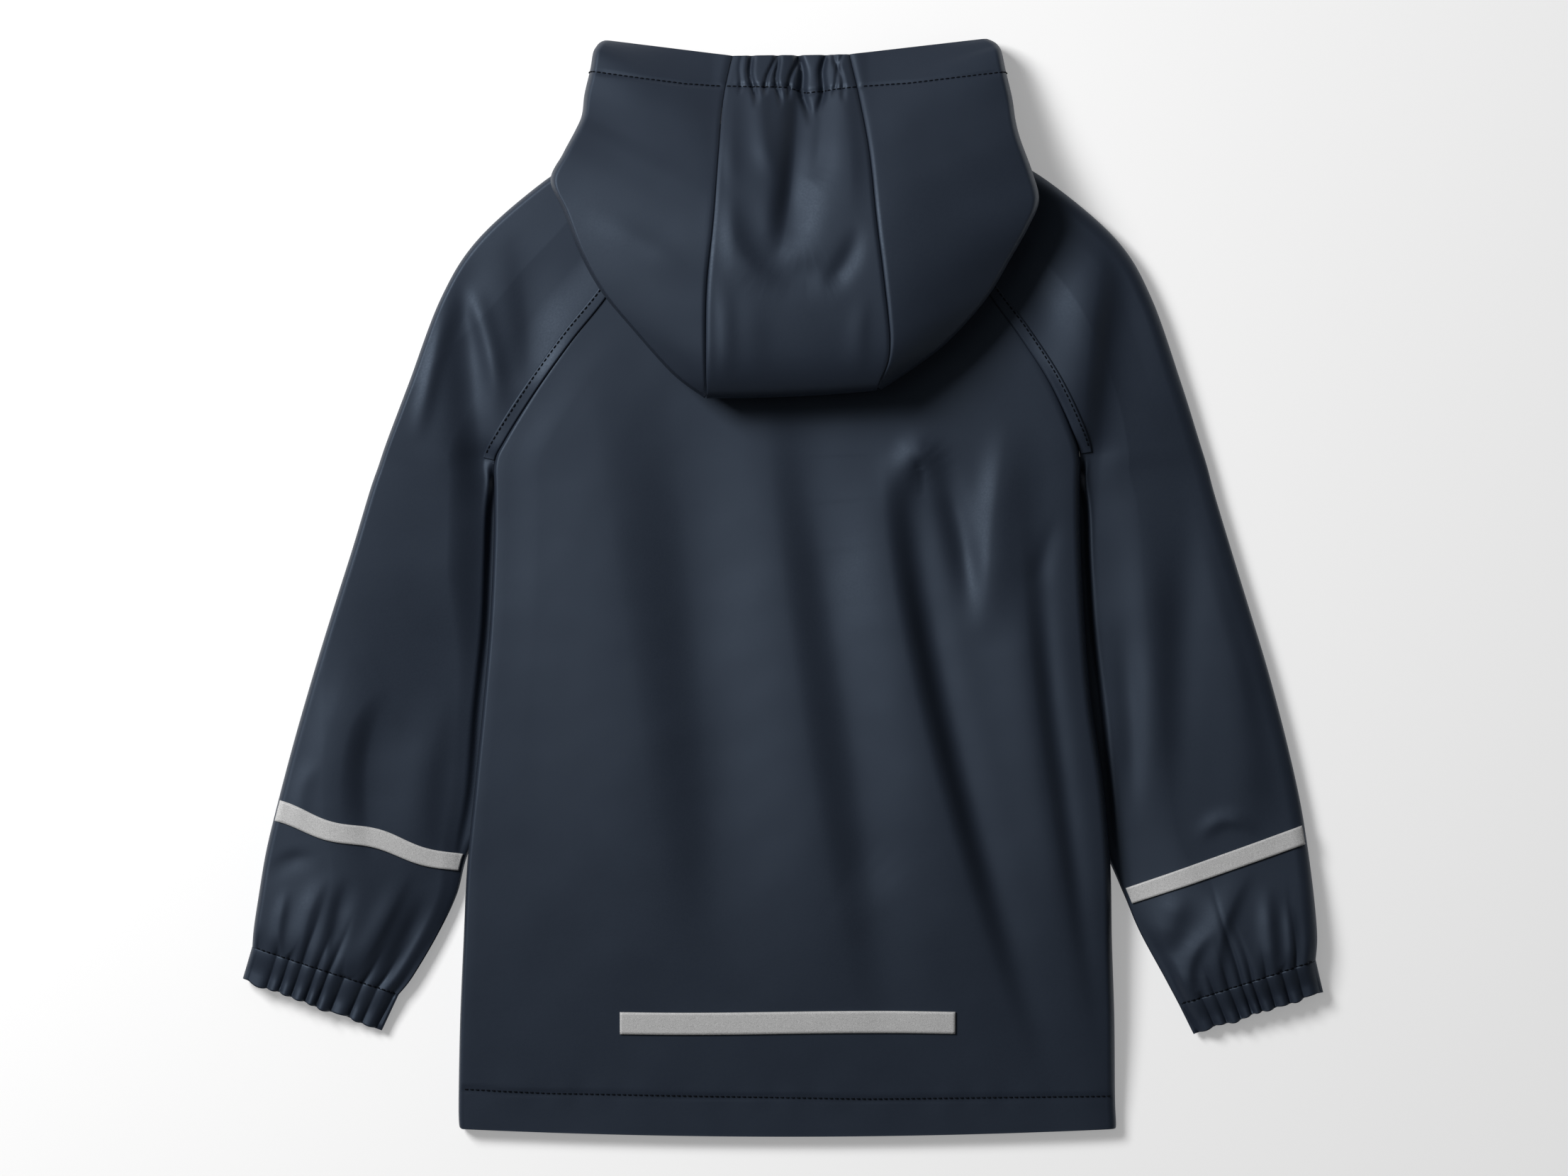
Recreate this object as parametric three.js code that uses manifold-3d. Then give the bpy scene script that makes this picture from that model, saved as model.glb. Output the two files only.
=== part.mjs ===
// A child's hooded raincoat in coated cloth, laid flat on its front so that the back shows.
// Millimetres. +Z is up from the table, +Y runs from the hem to the hood, and the origin is on the
// table under the middle of the coat. Left and right are the wearer's: left is -X.
//
// Every cut panel is a sheet of points, worked out from the tables below, and wall() gives it its
// thickness. Neighbouring panels follow the same seam line and stop half a gap short of it.
import * as THREE from "three";
import { mergeVertices } from "three/addons/utils/BufferGeometryUtils.js";
import Module from "manifold-3d";

const wasm = await Module();
wasm.setup();

// Driving sizes
const CLOTH = 1.2; // wall of every cut panel
const TRIM = 1.0; // wall of the bands and reflective tapes
const GAP = 0.3; // between pieces at a seam
const HALF_GAP = 0.2; // left at each side of a slanting seam, so that it stays open by the gap
const MIDDLE_X = 5; // centre line of neck and front closure
const ARMPIT_SEAM_Z = 12.5; // height of the seam where body and sleeve part
const FRONT_NECK_DROP = 9; // the front raglan seam starts this much lower than the back one
const THROAT_Y = 185;
const CHIN_Y = 222;
const OVERLAP_HALF = 12; // half of the overlap that the front studs close
const STUD_RADIUS = 5.5;
const STUD_ROWS = [-255, -155, -55, 45, 145];
const TAPE_WIDTH = 11.8;
const BACK_TAPE = { x0: -87, x1: 92, y: -232 };
const BAND_WIDTH = 6.6;

// Side edges of the body as seen from above, from the hem up to the armpit; seamZ is the height of
// the side seam and top the height of the back above the table.
const BODY_ROWS = [
  { y: -289.3, left: -172.4, right: 178, seamZ: 4.6, top: 10 },
  { y: -286.6, left: -173.4, right: 178.4, seamZ: 4.7, top: 10.2 },
  { y: -272, left: -173.6, right: 177.8, seamZ: 5, top: 11.5 },
  { y: -231, left: -172.7, right: 177.4, seamZ: 6.5, top: 15.5 },
  { y: -189, left: -170.8, right: 176, seamZ: 8.5, top: 18.5 },
  { y: -147, left: -168.6, right: 175, seamZ: 11.5, top: 20.5 },
  { y: -105, left: -164.4, right: 171.4, seamZ: 12.8, top: 21.5 },
  { y: -63, left: -160.2, right: 165.2, seamZ: 12.8, top: 21.5 },
  { y: -21, left: -156.6, right: 161.6, seamZ: 12.8, top: 21 },
  { y: 21, left: -154.6, right: 159.4, seamZ: 12.8, top: 20.5 },
  { y: 50, left: -154.2, right: 158.8, seamZ: 12.6, top: 20.5 },
];

// Raglan seams from the armpit to the neck, on the back.
const RAGLAN_ROWS = [
  { leftX: -154, leftY: 67, rightX: 158.7, rightY: 70, seamZ: ARMPIT_SEAM_Z, top: 20.5 },
  { leftX: -148.5, leftY: 78.5, rightX: 153.5, rightY: 86, seamZ: 17, top: 20.8 },
  { leftX: -133, leftY: 103, rightX: 142, rightY: 110, seamZ: 19.5, top: 20.8 },
  { leftX: -113, leftY: 131, rightX: 126, rightY: 134.5, seamZ: 20, top: 20.5 },
  { leftX: -92, leftY: 158, rightX: 109, rightY: 158, seamZ: 19.8, top: 20 },
  { leftX: -76, leftY: 190, rightX: 91, rightY: 190, seamZ: 18.8, top: 19 },
  { leftX: -64, leftY: 231, rightX: 75, rightY: 231, seamZ: 17, top: 17.5 },
];

// Folds of the back: a curve through three points, from its lower end upwards, with the height of
// its crest (a trough is negative) and how far it spreads to the left and to the right of the curve.
const BACK_FOLDS = [
  { x0: -74, y0: -262, x1: -106, y1: -50, x2: -128, y2: 160, height: 7, left: 32, right: 22 },
  { x0: -84, y0: -262, x1: -56, y1: -60, x2: -40, y2: 140, height: -4, left: 20, right: 22 },
  { x0: 46, y0: -262, x1: 6, y1: -70, x2: -26, y2: 150, height: 5.2, left: 24, right: 11 },
  { x0: 60, y0: -262, x1: 34, y1: -60, x2: 0, y2: 120, height: -2, left: 12, right: 18 },
  { x0: 140, y0: -284, x1: 72, y1: -62, x2: 52, y2: 92, height: 8, left: 34, right: 9 },
  { x0: 150, y0: -284, x1: 86, y1: -62, x2: 66, y2: 84, height: -3.6, left: 7, right: 10 },
  { x0: 62, y0: 34, x1: 70, y1: 70, x2: 84, y2: 52, height: 3.2, left: 9, right: 7 },
  { x0: 104, y0: -22, x1: 94, y1: 30, x2: 82, y2: 76, height: -3.4, left: 6, right: 6 },
  { x0: 108, y0: -34, x1: 112, y1: 30, x2: 122, y2: 96, height: 3.4, left: 9, right: 16 },
  { x0: 172, y0: -280, x1: 138, y1: -90, x2: 124, y2: 60, height: 4.2, left: 22, right: 7 },
  { x0: 180, y0: -280, x1: 146, y1: -92, x2: 136, y2: 50, height: -2.8, left: 7, right: 7 },
  { x0: 134, y0: -2, x1: 141, y1: 20, x2: 150, y2: 44, height: -2.6, left: 4, right: 5 },
  { x0: 96, y0: -250, x1: 62, y1: -180, x2: 34, y2: -150, height: 2.4, left: 16, right: 18 },
];

// Sleeves from the neck edge down to the cuff seam. inner is the raglan seam down to the armpit and
// the underarm fold below it, outer the edge seen from above. crest is the top of the sleeve,
// outerZ and innerZ the heights of its edges, and tuck how far its inner part lies under the body.
const SLEEVE_ROWS = {
  left: [
    { outerX: -82, outerY: 243, outerZ: 9, crest: 17 },
    { outerX: -101, outerY: 234, outerZ: 8.5, crest: 18 },
    { outerX: -129.4, outerY: 216.4, outerZ: 8, crest: 19 },
    { outerX: -163.6, outerY: 186, outerZ: 7.5, crest: 19.5 },
    { outerX: -183, outerY: 155, outerZ: 7, crest: 20 },
    { outerX: -200, outerY: 110, outerZ: 7, crest: 19.5 },
    { outerX: -211.5, outerY: 79.6, outerZ: 7, crest: 19 },
    { innerX: -151, innerY: 55, innerZ: 6, outerX: -216.5, outerY: 65, outerZ: 7, crest: 18.5, tuck: 3 },
    { innerX: -138, innerY: 36, innerZ: 3.6, outerX: -221, outerY: 52, outerZ: 7, crest: 18.5, tuck: 18 },
    { innerX: -127, innerY: 8, innerZ: 3.6, outerX: -230, outerY: 22, outerZ: 7, crest: 18.5, tuck: 30 },
    { innerX: -126, innerY: -30, innerZ: 3.6, outerX: -239.5, outerY: -8, outerZ: 7, crest: 18.5, tuck: 33 },
    { innerX: -135, innerY: -75, innerZ: 3.6, outerX: -250, outerY: -42, outerZ: 7, crest: 18, tuck: 29 },
    { innerX: -152, innerY: -114, innerZ: 3.6, outerX: -261, outerY: -80, outerZ: 7, crest: 17.5, tuck: 15 },
    { innerX: -168, innerY: -141, innerZ: 4, outerX: -270, outerY: -114, outerZ: 7, crest: 17, tuck: 4 },
    { innerX: -174.5, innerY: -164, innerZ: 5.5, outerX: -276.5, outerY: -141, outerZ: 7, crest: 17, tuck: 0 },
    { innerX: -185, innerY: -186, innerZ: 6.5, outerX: -280.8, outerY: -167, outerZ: 7.5, crest: 17.5, tuck: 0 },
    { innerX: -198, innerY: -208, innerZ: 7, outerX: -283, outerY: -182, outerZ: 8, crest: 17, tuck: 0 },
    { innerX: -205.6, innerY: -217.6, innerZ: 7, outerX: -283.8, outerY: -191.6, outerZ: 8, crest: 15.5, tuck: 0 },
  ],
  right: [
    { outerX: 93, outerY: 243, outerZ: 9, crest: 17 },
    { outerX: 112, outerY: 235, outerZ: 8.5, crest: 18 },
    { outerX: 143.5, outerY: 216.4, outerZ: 8, crest: 19 },
    { outerX: 178.8, outerY: 186, outerZ: 7.5, crest: 19.5 },
    { outerX: 197, outerY: 155.6, outerZ: 7, crest: 20 },
    { outerX: 213, outerY: 110, outerZ: 7, crest: 19.5 },
    { outerX: 222.5, outerY: 79.6, outerZ: 7, crest: 19 },
    { innerX: 155.5, innerY: 57, innerZ: 6, outerX: 227, outerY: 65, outerZ: 7, crest: 18.5, tuck: 3 },
    { innerX: 142, innerY: 37, innerZ: 3.6, outerX: 231, outerY: 50, outerZ: 7, crest: 18.5, tuck: 19 },
    { innerX: 131, innerY: 8, innerZ: 3.6, outerX: 240, outerY: 20, outerZ: 7, crest: 18.5, tuck: 31 },
    { innerX: 131, innerY: -32, innerZ: 3.6, outerX: 249.5, outerY: -11, outerZ: 7, crest: 18.5, tuck: 34 },
    { innerX: 141, innerY: -78, innerZ: 3.6, outerX: 259.5, outerY: -44, outerZ: 7, crest: 18, tuck: 30 },
    { innerX: 158, innerY: -118, innerZ: 3.6, outerX: 269, outerY: -80, outerZ: 7, crest: 17.5, tuck: 17 },
    { innerX: 173, innerY: -143, innerZ: 4, outerX: 276.3, outerY: -112, outerZ: 7, crest: 17, tuck: 4 },
    { innerX: 182.5, innerY: -164, innerZ: 5.5, outerX: 280.5, outerY: -137, outerZ: 7, crest: 17, tuck: 0 },
    { innerX: 191, innerY: -184, innerZ: 6.5, outerX: 284, outerY: -164, outerZ: 7.5, crest: 17.5, tuck: 0 },
    { innerX: 204, innerY: -208, innerZ: 7, outerX: 285.8, outerY: -186, outerZ: 8, crest: 17, tuck: 0 },
    { innerX: 212, innerY: -223, innerZ: 7, outerX: 285, outerY: -199, outerZ: 8, crest: 15.5, tuck: 0 },
  ],
};

// Elastic cuffs: the corners of the open end.
const CUFFS = {
  left: { innerX: -214.8, innerY: -237, outerX: -289.2, outerY: -209.6 },
  right: { innerX: 220, innerY: -239, outerX: 289.2, outerY: -216.5 },
};
const CUFF_PLEATS = 10;

// Folds of each sleeve, in the same form as those of the back.
const SLEEVE_FOLDS = {
  left: [
    { x0: -154, y0: -56, x1: -170, y1: 60, x2: -177, y2: 182, height: -6.5, left: 8, right: 15 },
    { x0: -151, y0: 90, x1: -158, y1: 132, x2: -174, y2: 172, height: 2.2, left: 5, right: 6 },
    { x0: -136, y0: 104, x1: -135, y1: 140, x2: -143, y2: 200, height: -2.6, left: 9, right: 9 },
    { x0: -196, y0: 76, x1: -188, y1: 120, x2: -180, y2: 164, height: 2.2, left: 5, right: 5 },
    { x0: -232, y0: -156, x1: -234, y1: -84, x2: -208, y2: -50, height: 2.2, left: 20, right: 6 },
    { x0: -216, y0: -156, x1: -222, y1: -98, x2: -210, y2: -60, height: -1.8, left: 6, right: 14 },
    { x0: -186, y0: -158, x1: -192, y1: -110, x2: -176, y2: -44, height: 1.6, left: 12, right: 9 },
    { x0: -256, y0: -134, x1: -258, y1: -108, x2: -246, y2: -92, height: 1.4, left: 7, right: 5 },
    { x0: -280, y0: -160, x1: -266, y1: -146, x2: -246, y2: -146, height: -1.2, left: 4, right: 6 },
    { x0: -270, y0: -200, x1: -269, y1: -180, x2: -264, y2: -158, height: 1.2, left: 4, right: 3 },
    { x0: -258, y0: -202, x1: -254, y1: -178, x2: -242, y2: -150, height: 1.8, left: 6, right: 3.5 },
    { x0: -240, y0: -206, x1: -238, y1: -178, x2: -230, y2: -152, height: -1.8, left: 4, right: 6 },
    { x0: -232, y0: -210, x1: -216, y1: -184, x2: -198, y2: -146, height: 2.4, left: 7, right: 4 },
    { x0: -216, y0: -216, x1: -202, y1: -190, x2: -188, y2: -160, height: -2, left: 5, right: 7 },
  ],
  right: [
    { x0: 157, y0: 66, x1: 163, y1: 128, x2: 175, y2: 196, height: 3.4, left: 20, right: 9 },
    { x0: 164, y0: -60, x1: 171, y1: 100, x2: 181, y2: 196, height: -4.6, left: 8, right: 15 },
    { x0: 200, y0: -120, x1: 198, y1: -30, x2: 188, y2: 60, height: 2.6, left: 9, right: 8 },
    { x0: 186, y0: -130, x1: 186, y1: -70, x2: 180, y2: -10, height: -1.6, left: 7, right: 6 },
    { x0: 212, y0: -140, x1: 212, y1: -40, x2: 222, y2: 70, height: -2.2, left: 8, right: 9 },
    { x0: 248, y0: -150, x1: 244, y1: -60, x2: 222, y2: 110, height: 2.4, left: 15, right: 9 },
    { x0: 220, y0: -138, x1: 236, y1: -124, x2: 256, y2: -132, height: 1.2, left: 5, right: 4 },
    { x0: 238, y0: -222, x1: 233, y1: -188, x2: 252, y2: -146, height: 3, left: 9, right: 4 },
    { x0: 224, y0: -226, x1: 217, y1: -202, x2: 234, y2: -178, height: 2.2, left: 7, right: 4 },
    { x0: 262, y0: -212, x1: 260, y1: -186, x2: 258, y2: -156, height: 1.8, left: 5, right: 4 },
    { x0: 272, y0: -208, x1: 272, y1: -188, x2: 269, y2: -164, height: 1.4, left: 4, right: 3 },
    { x0: 206, y0: -196, x1: 208, y1: -178, x2: 216, y2: -160, height: 1.6, left: 9, right: 7 },
  ],
};

// How a sleeve rises from the body or its own inner edge, by row number: a share of the rise is
// short and steep, the rest is long and starts a little way out. lift is added to its crest.
const CLIMB_ROWS = {
  left: [
    { row: 0, share: 1, short: 26, start: 0, long: 40, lift: -1.2 },
    { row: 3, share: 1, short: 26, start: 0, long: 45, lift: -1.2 },
    { row: 4, share: 0.9, short: 25, start: 0, long: 50, lift: 0.5 },
    { row: 6, share: 0.8, short: 24, start: 0, long: 60, lift: 1.5 },
    { row: 8, share: 0.6, short: 17, start: 0, long: 70, lift: 1.5 },
    { row: 9, share: 0.4, short: 12, start: 0, long: 80, lift: 1.5 },
    { row: 10, share: 0.1, short: 10, start: 0, long: 85, lift: 1 },
    { row: 11, share: 0, short: 10, start: 0, long: 85, lift: 1 },
    { row: 17, share: 0.3, short: 8, start: 0, long: 50, lift: 1 },
  ],
  right: [
    { row: 0, share: 1, short: 26, start: 0, long: 40, lift: -1.2 },
    { row: 3, share: 1, short: 26, start: 0, long: 40, lift: -1.2 },
    { row: 4, share: 0.8, short: 26, start: 4, long: 45, lift: 0 },
    { row: 6, share: 0.3, short: 22, start: 10, long: 60, lift: -1.5 },
    { row: 8, share: 0, short: 20, start: 12, long: 72, lift: -3.5 },
    { row: 11, share: 0, short: 20, start: 12, long: 72, lift: -3.5 },
    { row: 13, share: 0.2, short: 10, start: 2, long: 60, lift: -2 },
    { row: 17, share: 0.4, short: 8, start: 0, long: 50, lift: 0 },
  ],
};
const CREST_FALL = 0.05; // slope of the top of a sleeve towards its outer edge
const FALL_START = 58; // where that slope starts, from the body
const LIP = 4; // just below the armpit a sleeve comes out from under the body higher by this

// The two seams of the hood's middle strip, from the nape down the hidden layer, round the bottom
// fold and up the layer that shows, to the face edge.
const HOOD_SEAM_ROWS = [
  { leftX: -39, leftY: 222.5, rightX: 51, rightY: 222.5, z: 19.4 },
  { leftX: -39.5, leftY: 205, rightX: 52, rightY: 205, z: 24.5 },
  { leftX: -40, leftY: 165, rightX: 53, rightY: 165, z: 26.5 },
  { leftX: -40, leftY: 122, rightX: 52, rightY: 125, z: 27 },
  { leftX: -40, leftY: 106, rightX: 50, rightY: 110, z: 31 },
  { leftX: -40.4, leftY: 100.6, rightX: 49.4, rightY: 104.6, z: 41 },
  { leftX: -40.2, leftY: 104.5, rightX: 51, rightY: 108.5, z: 53 },
  { leftX: -40.6, leftY: 122, rightX: 56.6, rightY: 126, z: 61 },
  { leftX: -40, leftY: 158, rightX: 54, rightY: 158, z: 63 },
  { leftX: -36.5, leftY: 194, rightX: 49.6, rightY: 194, z: 59 },
  { leftX: -34, leftY: 230, rightX: 46, rightY: 230, z: 47 },
  { leftX: -31.6, leftY: 260, rightX: 40.6, rightY: 261, z: 31 },
  { leftX: -26.8, leftY: 283.8, rightX: 35.4, rightY: 284.6, z: 19 },
];
const HOOD_SEAM_FOLD = 5; // row of HOOD_SEAM_ROWS at the bottom fold

// Side panels of the hood: outline seen from above with its height, the height of the cloth just
// inside it, and the edge of the hidden layer, which follows the strip, the neck and the front.
const HOOD_SIDE_ROWS = {
  left: [
    { outX: -41.5, outY: 100.6, outZ: 42, rim: 47, lowX: 0, lowY: 0, lowZ: 0 },
    { outX: -58.5, outY: 113.4, outZ: 40, rim: 50, lowX: 0, lowY: 0, lowZ: 0 },
    { outX: -80, outY: 137.4, outZ: 39, rim: 53, lowX: 0, lowY: 0, lowZ: 0 },
    { outX: -96.5, outY: 157.4, outZ: 38, rim: 54, lowX: 0, lowY: 0, lowZ: 0 },
    { outX: -108, outY: 178, outZ: 37, rim: 54, lowX: 0, lowY: 0, lowZ: 0 },
    { outX: -116.6, outY: 200, outZ: 36, rim: 53, lowX: -41, lowY: 223.4, lowZ: 19.6 },
    { outX: -123.4, outY: 216.6, outZ: 33, rim: 50, lowX: -60, lowY: 231, lowZ: 19.8 },
    { outX: -117, outY: 231, outZ: 28, rim: 46, lowX: -73, lowY: 240.5, lowZ: 19.6 },
    { outX: -110.5, outY: 244, outZ: 22, rim: 41, lowX: -83, lowY: 247.2, lowZ: 16 },
    { outX: -107.3, outY: 252.5, outZ: 16, rim: 37, lowX: -84.6, lowY: 248.4, lowZ: 8 },
    { outX: -106, outY: 264, outZ: 12, rim: 33, lowX: -83, lowY: 247, lowZ: 1.6 },
    { outX: -103, outY: 277, outZ: 11, rim: 29, lowX: -77.5, lowY: 241.6, lowZ: 0 },
    { outX: -101.5, outY: 286, outZ: 10.5, rim: 26, lowX: -58, lowY: 217, lowZ: 0 },
    { outX: -99.5, outY: 289.8, outZ: 10, rim: 23, lowX: -27, lowY: 195, lowZ: 0 },
    { outX: -97.8, outY: 291.6, outZ: 9.8, rim: 20, lowX: 4.8, lowY: 186.6, lowZ: 0 },
    { outX: -95.8, outY: 292.5, outZ: 9.6, rim: 17, lowX: 4.8, lowY: CHIN_Y, lowZ: 0 },
  ],
  right: [
    { outX: 52, outY: 105, outZ: 42, rim: 44, lowX: 0, lowY: 0, lowZ: 0 },
    { outX: 70, outY: 117, outZ: 40, rim: 45, lowX: 0, lowY: 0, lowZ: 0 },
    { outX: 88, outY: 131, outZ: 39, rim: 45, lowX: 0, lowY: 0, lowZ: 0 },
    { outX: 108, outY: 153.4, outZ: 38, rim: 45, lowX: 0, lowY: 0, lowZ: 0 },
    { outX: 121, outY: 175, outZ: 37, rim: 44.5, lowX: 0, lowY: 0, lowZ: 0 },
    { outX: 130.6, outY: 192, outZ: 36, rim: 44, lowX: 53, lowY: 223.4, lowZ: 19.6 },
    { outX: 136, outY: 206, outZ: 33, rim: 42, lowX: 71, lowY: 231, lowZ: 19.8 },
    { outX: 132.8, outY: 221, outZ: 28, rim: 39, lowX: 84, lowY: 240.5, lowZ: 19.6 },
    { outX: 126.6, outY: 239, outZ: 22, rim: 36, lowX: 94, lowY: 247.2, lowZ: 16 },
    { outX: 124.2, outY: 249.6, outZ: 16, rim: 33, lowX: 94.6, lowY: 248.4, lowZ: 8 },
    { outX: 122.5, outY: 262, outZ: 12, rim: 29, lowX: 93, lowY: 247, lowZ: 1.6 },
    { outX: 119, outY: 277, outZ: 11, rim: 26, lowX: 87.5, lowY: 241.6, lowZ: 0 },
    { outX: 117, outY: 286.5, outZ: 10.5, rim: 23, lowX: 68, lowY: 217, lowZ: 0 },
    { outX: 115, outY: 290.2, outZ: 10, rim: 20, lowX: 37, lowY: 195, lowZ: 0 },
    { outX: 112.5, outY: 292.2, outZ: 9.8, rim: 18, lowX: 5.2, lowY: 186.6, lowZ: 0 },
    { outX: 109.7, outY: 293.4, outZ: 9.6, rim: 16, lowX: 5.2, lowY: CHIN_Y, lowZ: 0 },
  ],
};

// Folds of the hood's visible layer.
const HOOD_FOLDS = [
  { x0: -3, y0: 168, x1: 6, y1: 224, x2: 12, y2: 320, height: -8.5, left: 9, right: 2.6 },
  { x0: 13, y0: 206, x1: 20, y1: 244, x2: 22, y2: 320, height: -3.4, left: 6, right: 2.4 },
  { x0: -4, y0: 214, x1: -11, y1: 244, x2: -12, y2: 286, height: 2, left: 6, right: 4 },
  { x0: 30, y0: 190, x1: 36, y1: 240, x2: 30, y2: 300, height: 1.2, left: 12, right: 9 },
  { x0: -8, y0: 196, x1: -26, y1: 222, x2: -33, y2: 262, height: 2, left: 8, right: 6 },
  { x0: -30, y0: 226, x1: -18, y1: 212, x2: -10, y2: 236, height: -1.8, left: 6, right: 7 },
  { x0: 2, y0: 164, x1: -22, y1: 184, x2: -27, y2: 216, height: 2.4, left: 12, right: 5 },
  { x0: -30, y0: 184, x1: 4, y1: 168, x2: 46, y2: 206, height: -2.4, left: 6, right: 16 },
  { x0: 20, y0: 160, x1: 32, y1: 170, x2: 42, y2: 196, height: -1.4, left: 5, right: 6 },
  { x0: -33, y0: 96, x1: -31, y1: 130, x2: -36, y2: 172, height: 1.6, left: 4, right: 6 },
  { x0: -22, y0: 96, x1: -16, y1: 128, x2: -22, y2: 160, height: 1, left: 9, right: 8 },
  { x0: 44, y0: 100, x1: 40, y1: 128, x2: 45, y2: 160, height: 1.2, left: 6, right: 5 },
  { x0: -106, y0: 196, x1: -74, y1: 180, x2: -40, y2: 158, height: 0.9, left: 8, right: 10 },
  { x0: 57, y0: 130, x1: 60, y1: 200, x2: 50, y2: 284, height: 1.2, left: 4, right: 10 },
];
// The seam of the casing at the face edge, which the elastic gathers in the middle.
const CASING_ROWS = [
  { x: -104, y: 275 },
  { x: -51.5, y: 268 },
  { x: 2, y: 266.4 },
  { x: 13, y: 263.5 },
  { x: 39.7, y: 266.6 },
  { x: 121, y: 275 },
];
// Gathers: grooves across the casing that die away over their length below it.
const FACE_GATHERS = [
  { x: -15.8, depth: 2.2, length: 12 },
  { x: -8.9, depth: 1.9, length: 9 },
  { x: -2.5, depth: 2.4, length: 14 },
  { x: 4, depth: 1.9, length: 12 },
  { x: 11.2, depth: 3.2, length: 16 },
  { x: 20.7, depth: 3, length: 16 },
  { x: 31, depth: 1.6, length: 10 },
];
const GATHER_SPREAD = 2.2;

const clamp = (value, low, high) => Math.min(high, Math.max(low, value));
const mix = (a, b, t) => a + (b - a) * t;
const smooth = (t) => {
  const c = clamp(t, 0, 1);
  return c * c * (3 - 2 * c);
};

// Height of a rolled edge, from 0 at the edge to 1 at the radius and beyond: a quarter circle.
const rolled = (distance, radius) => {
  const t = clamp(distance / radius, 0, 1);
  return Math.sqrt(Math.max(0, 1 - (1 - t) * (1 - t)));
};

// Smooth value of one column of a table at a row number that may lie between rows.
function along(rows, column, position) {
  const i = clamp(Math.floor(position), 0, rows.length - 2);
  const t = position - i;
  const at = (n) => rows[clamp(n, 0, rows.length - 1)][column];
  const slopeA = (at(i + 1) - at(i - 1)) / 2;
  const slopeB = (at(i + 2) - at(i)) / 2;
  const t2 = t * t;
  const t3 = t2 * t;
  return (
    (2 * t3 - 3 * t2 + 1) * at(i) +
    (t3 - 2 * t2 + t) * slopeA +
    (3 * t2 - 2 * t3) * at(i + 1) +
    (t3 - t2) * slopeB
  );
}

// Straight-line value of one column between the rows of a table that is ordered by another.
function between(rows, by, column, value) {
  let i = 0;
  while (i < rows.length - 2 && rows[i + 1][by] < value) i++;
  const t = clamp((value - rows[i][by]) / (rows[i + 1][by] - rows[i][by]), 0, 1);
  return mix(rows[i][column], rows[i + 1][column], t);
}

// Sum of the folds at a point: each dies away from its curve like a bell, and towards its ends.
const FOLD_STEPS = 12;
const FOLD_END = 0.4; // share of its length over which a fold rises from each end
function foldHeight(folds, x, y) {
  let sum = 0;
  for (const f of folds) {
    let nearest = Infinity;
    let where = 0;
    let turn = 0;
    const at = (t) => {
      const [a, b, c] = [(1 - t) * (1 - 2 * t), 4 * t * (1 - t), t * (2 * t - 1)];
      return [a * f.x0 + b * f.x1 + c * f.x2, a * f.y0 + b * f.y1 + c * f.y2];
    };
    let start = at(0);
    for (let n = 0; n < FOLD_STEPS; n++) {
      const end = at((n + 1) / FOLD_STEPS);
      const [dx, dy] = [end[0] - start[0], end[1] - start[1]];
      const s = clamp(((x - start[0]) * dx + (y - start[1]) * dy) / (dx * dx + dy * dy), 0, 1);
      const [gx, gy] = [x - start[0] - s * dx, y - start[1] - s * dy];
      const distance = Math.hypot(gx, gy);
      if (distance < nearest) {
        nearest = distance;
        where = (n + s) / FOLD_STEPS;
        turn = dx * gy - dy * gx;
      }
      start = end;
    }
    const ends = smooth(where / FOLD_END) * smooth((1 - where) / FOLD_END);
    sum += f.height * Math.exp(-((nearest / (turn > 0 ? f.left : f.right)) ** 2)) * ends;
  }
  return sum;
}

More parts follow.
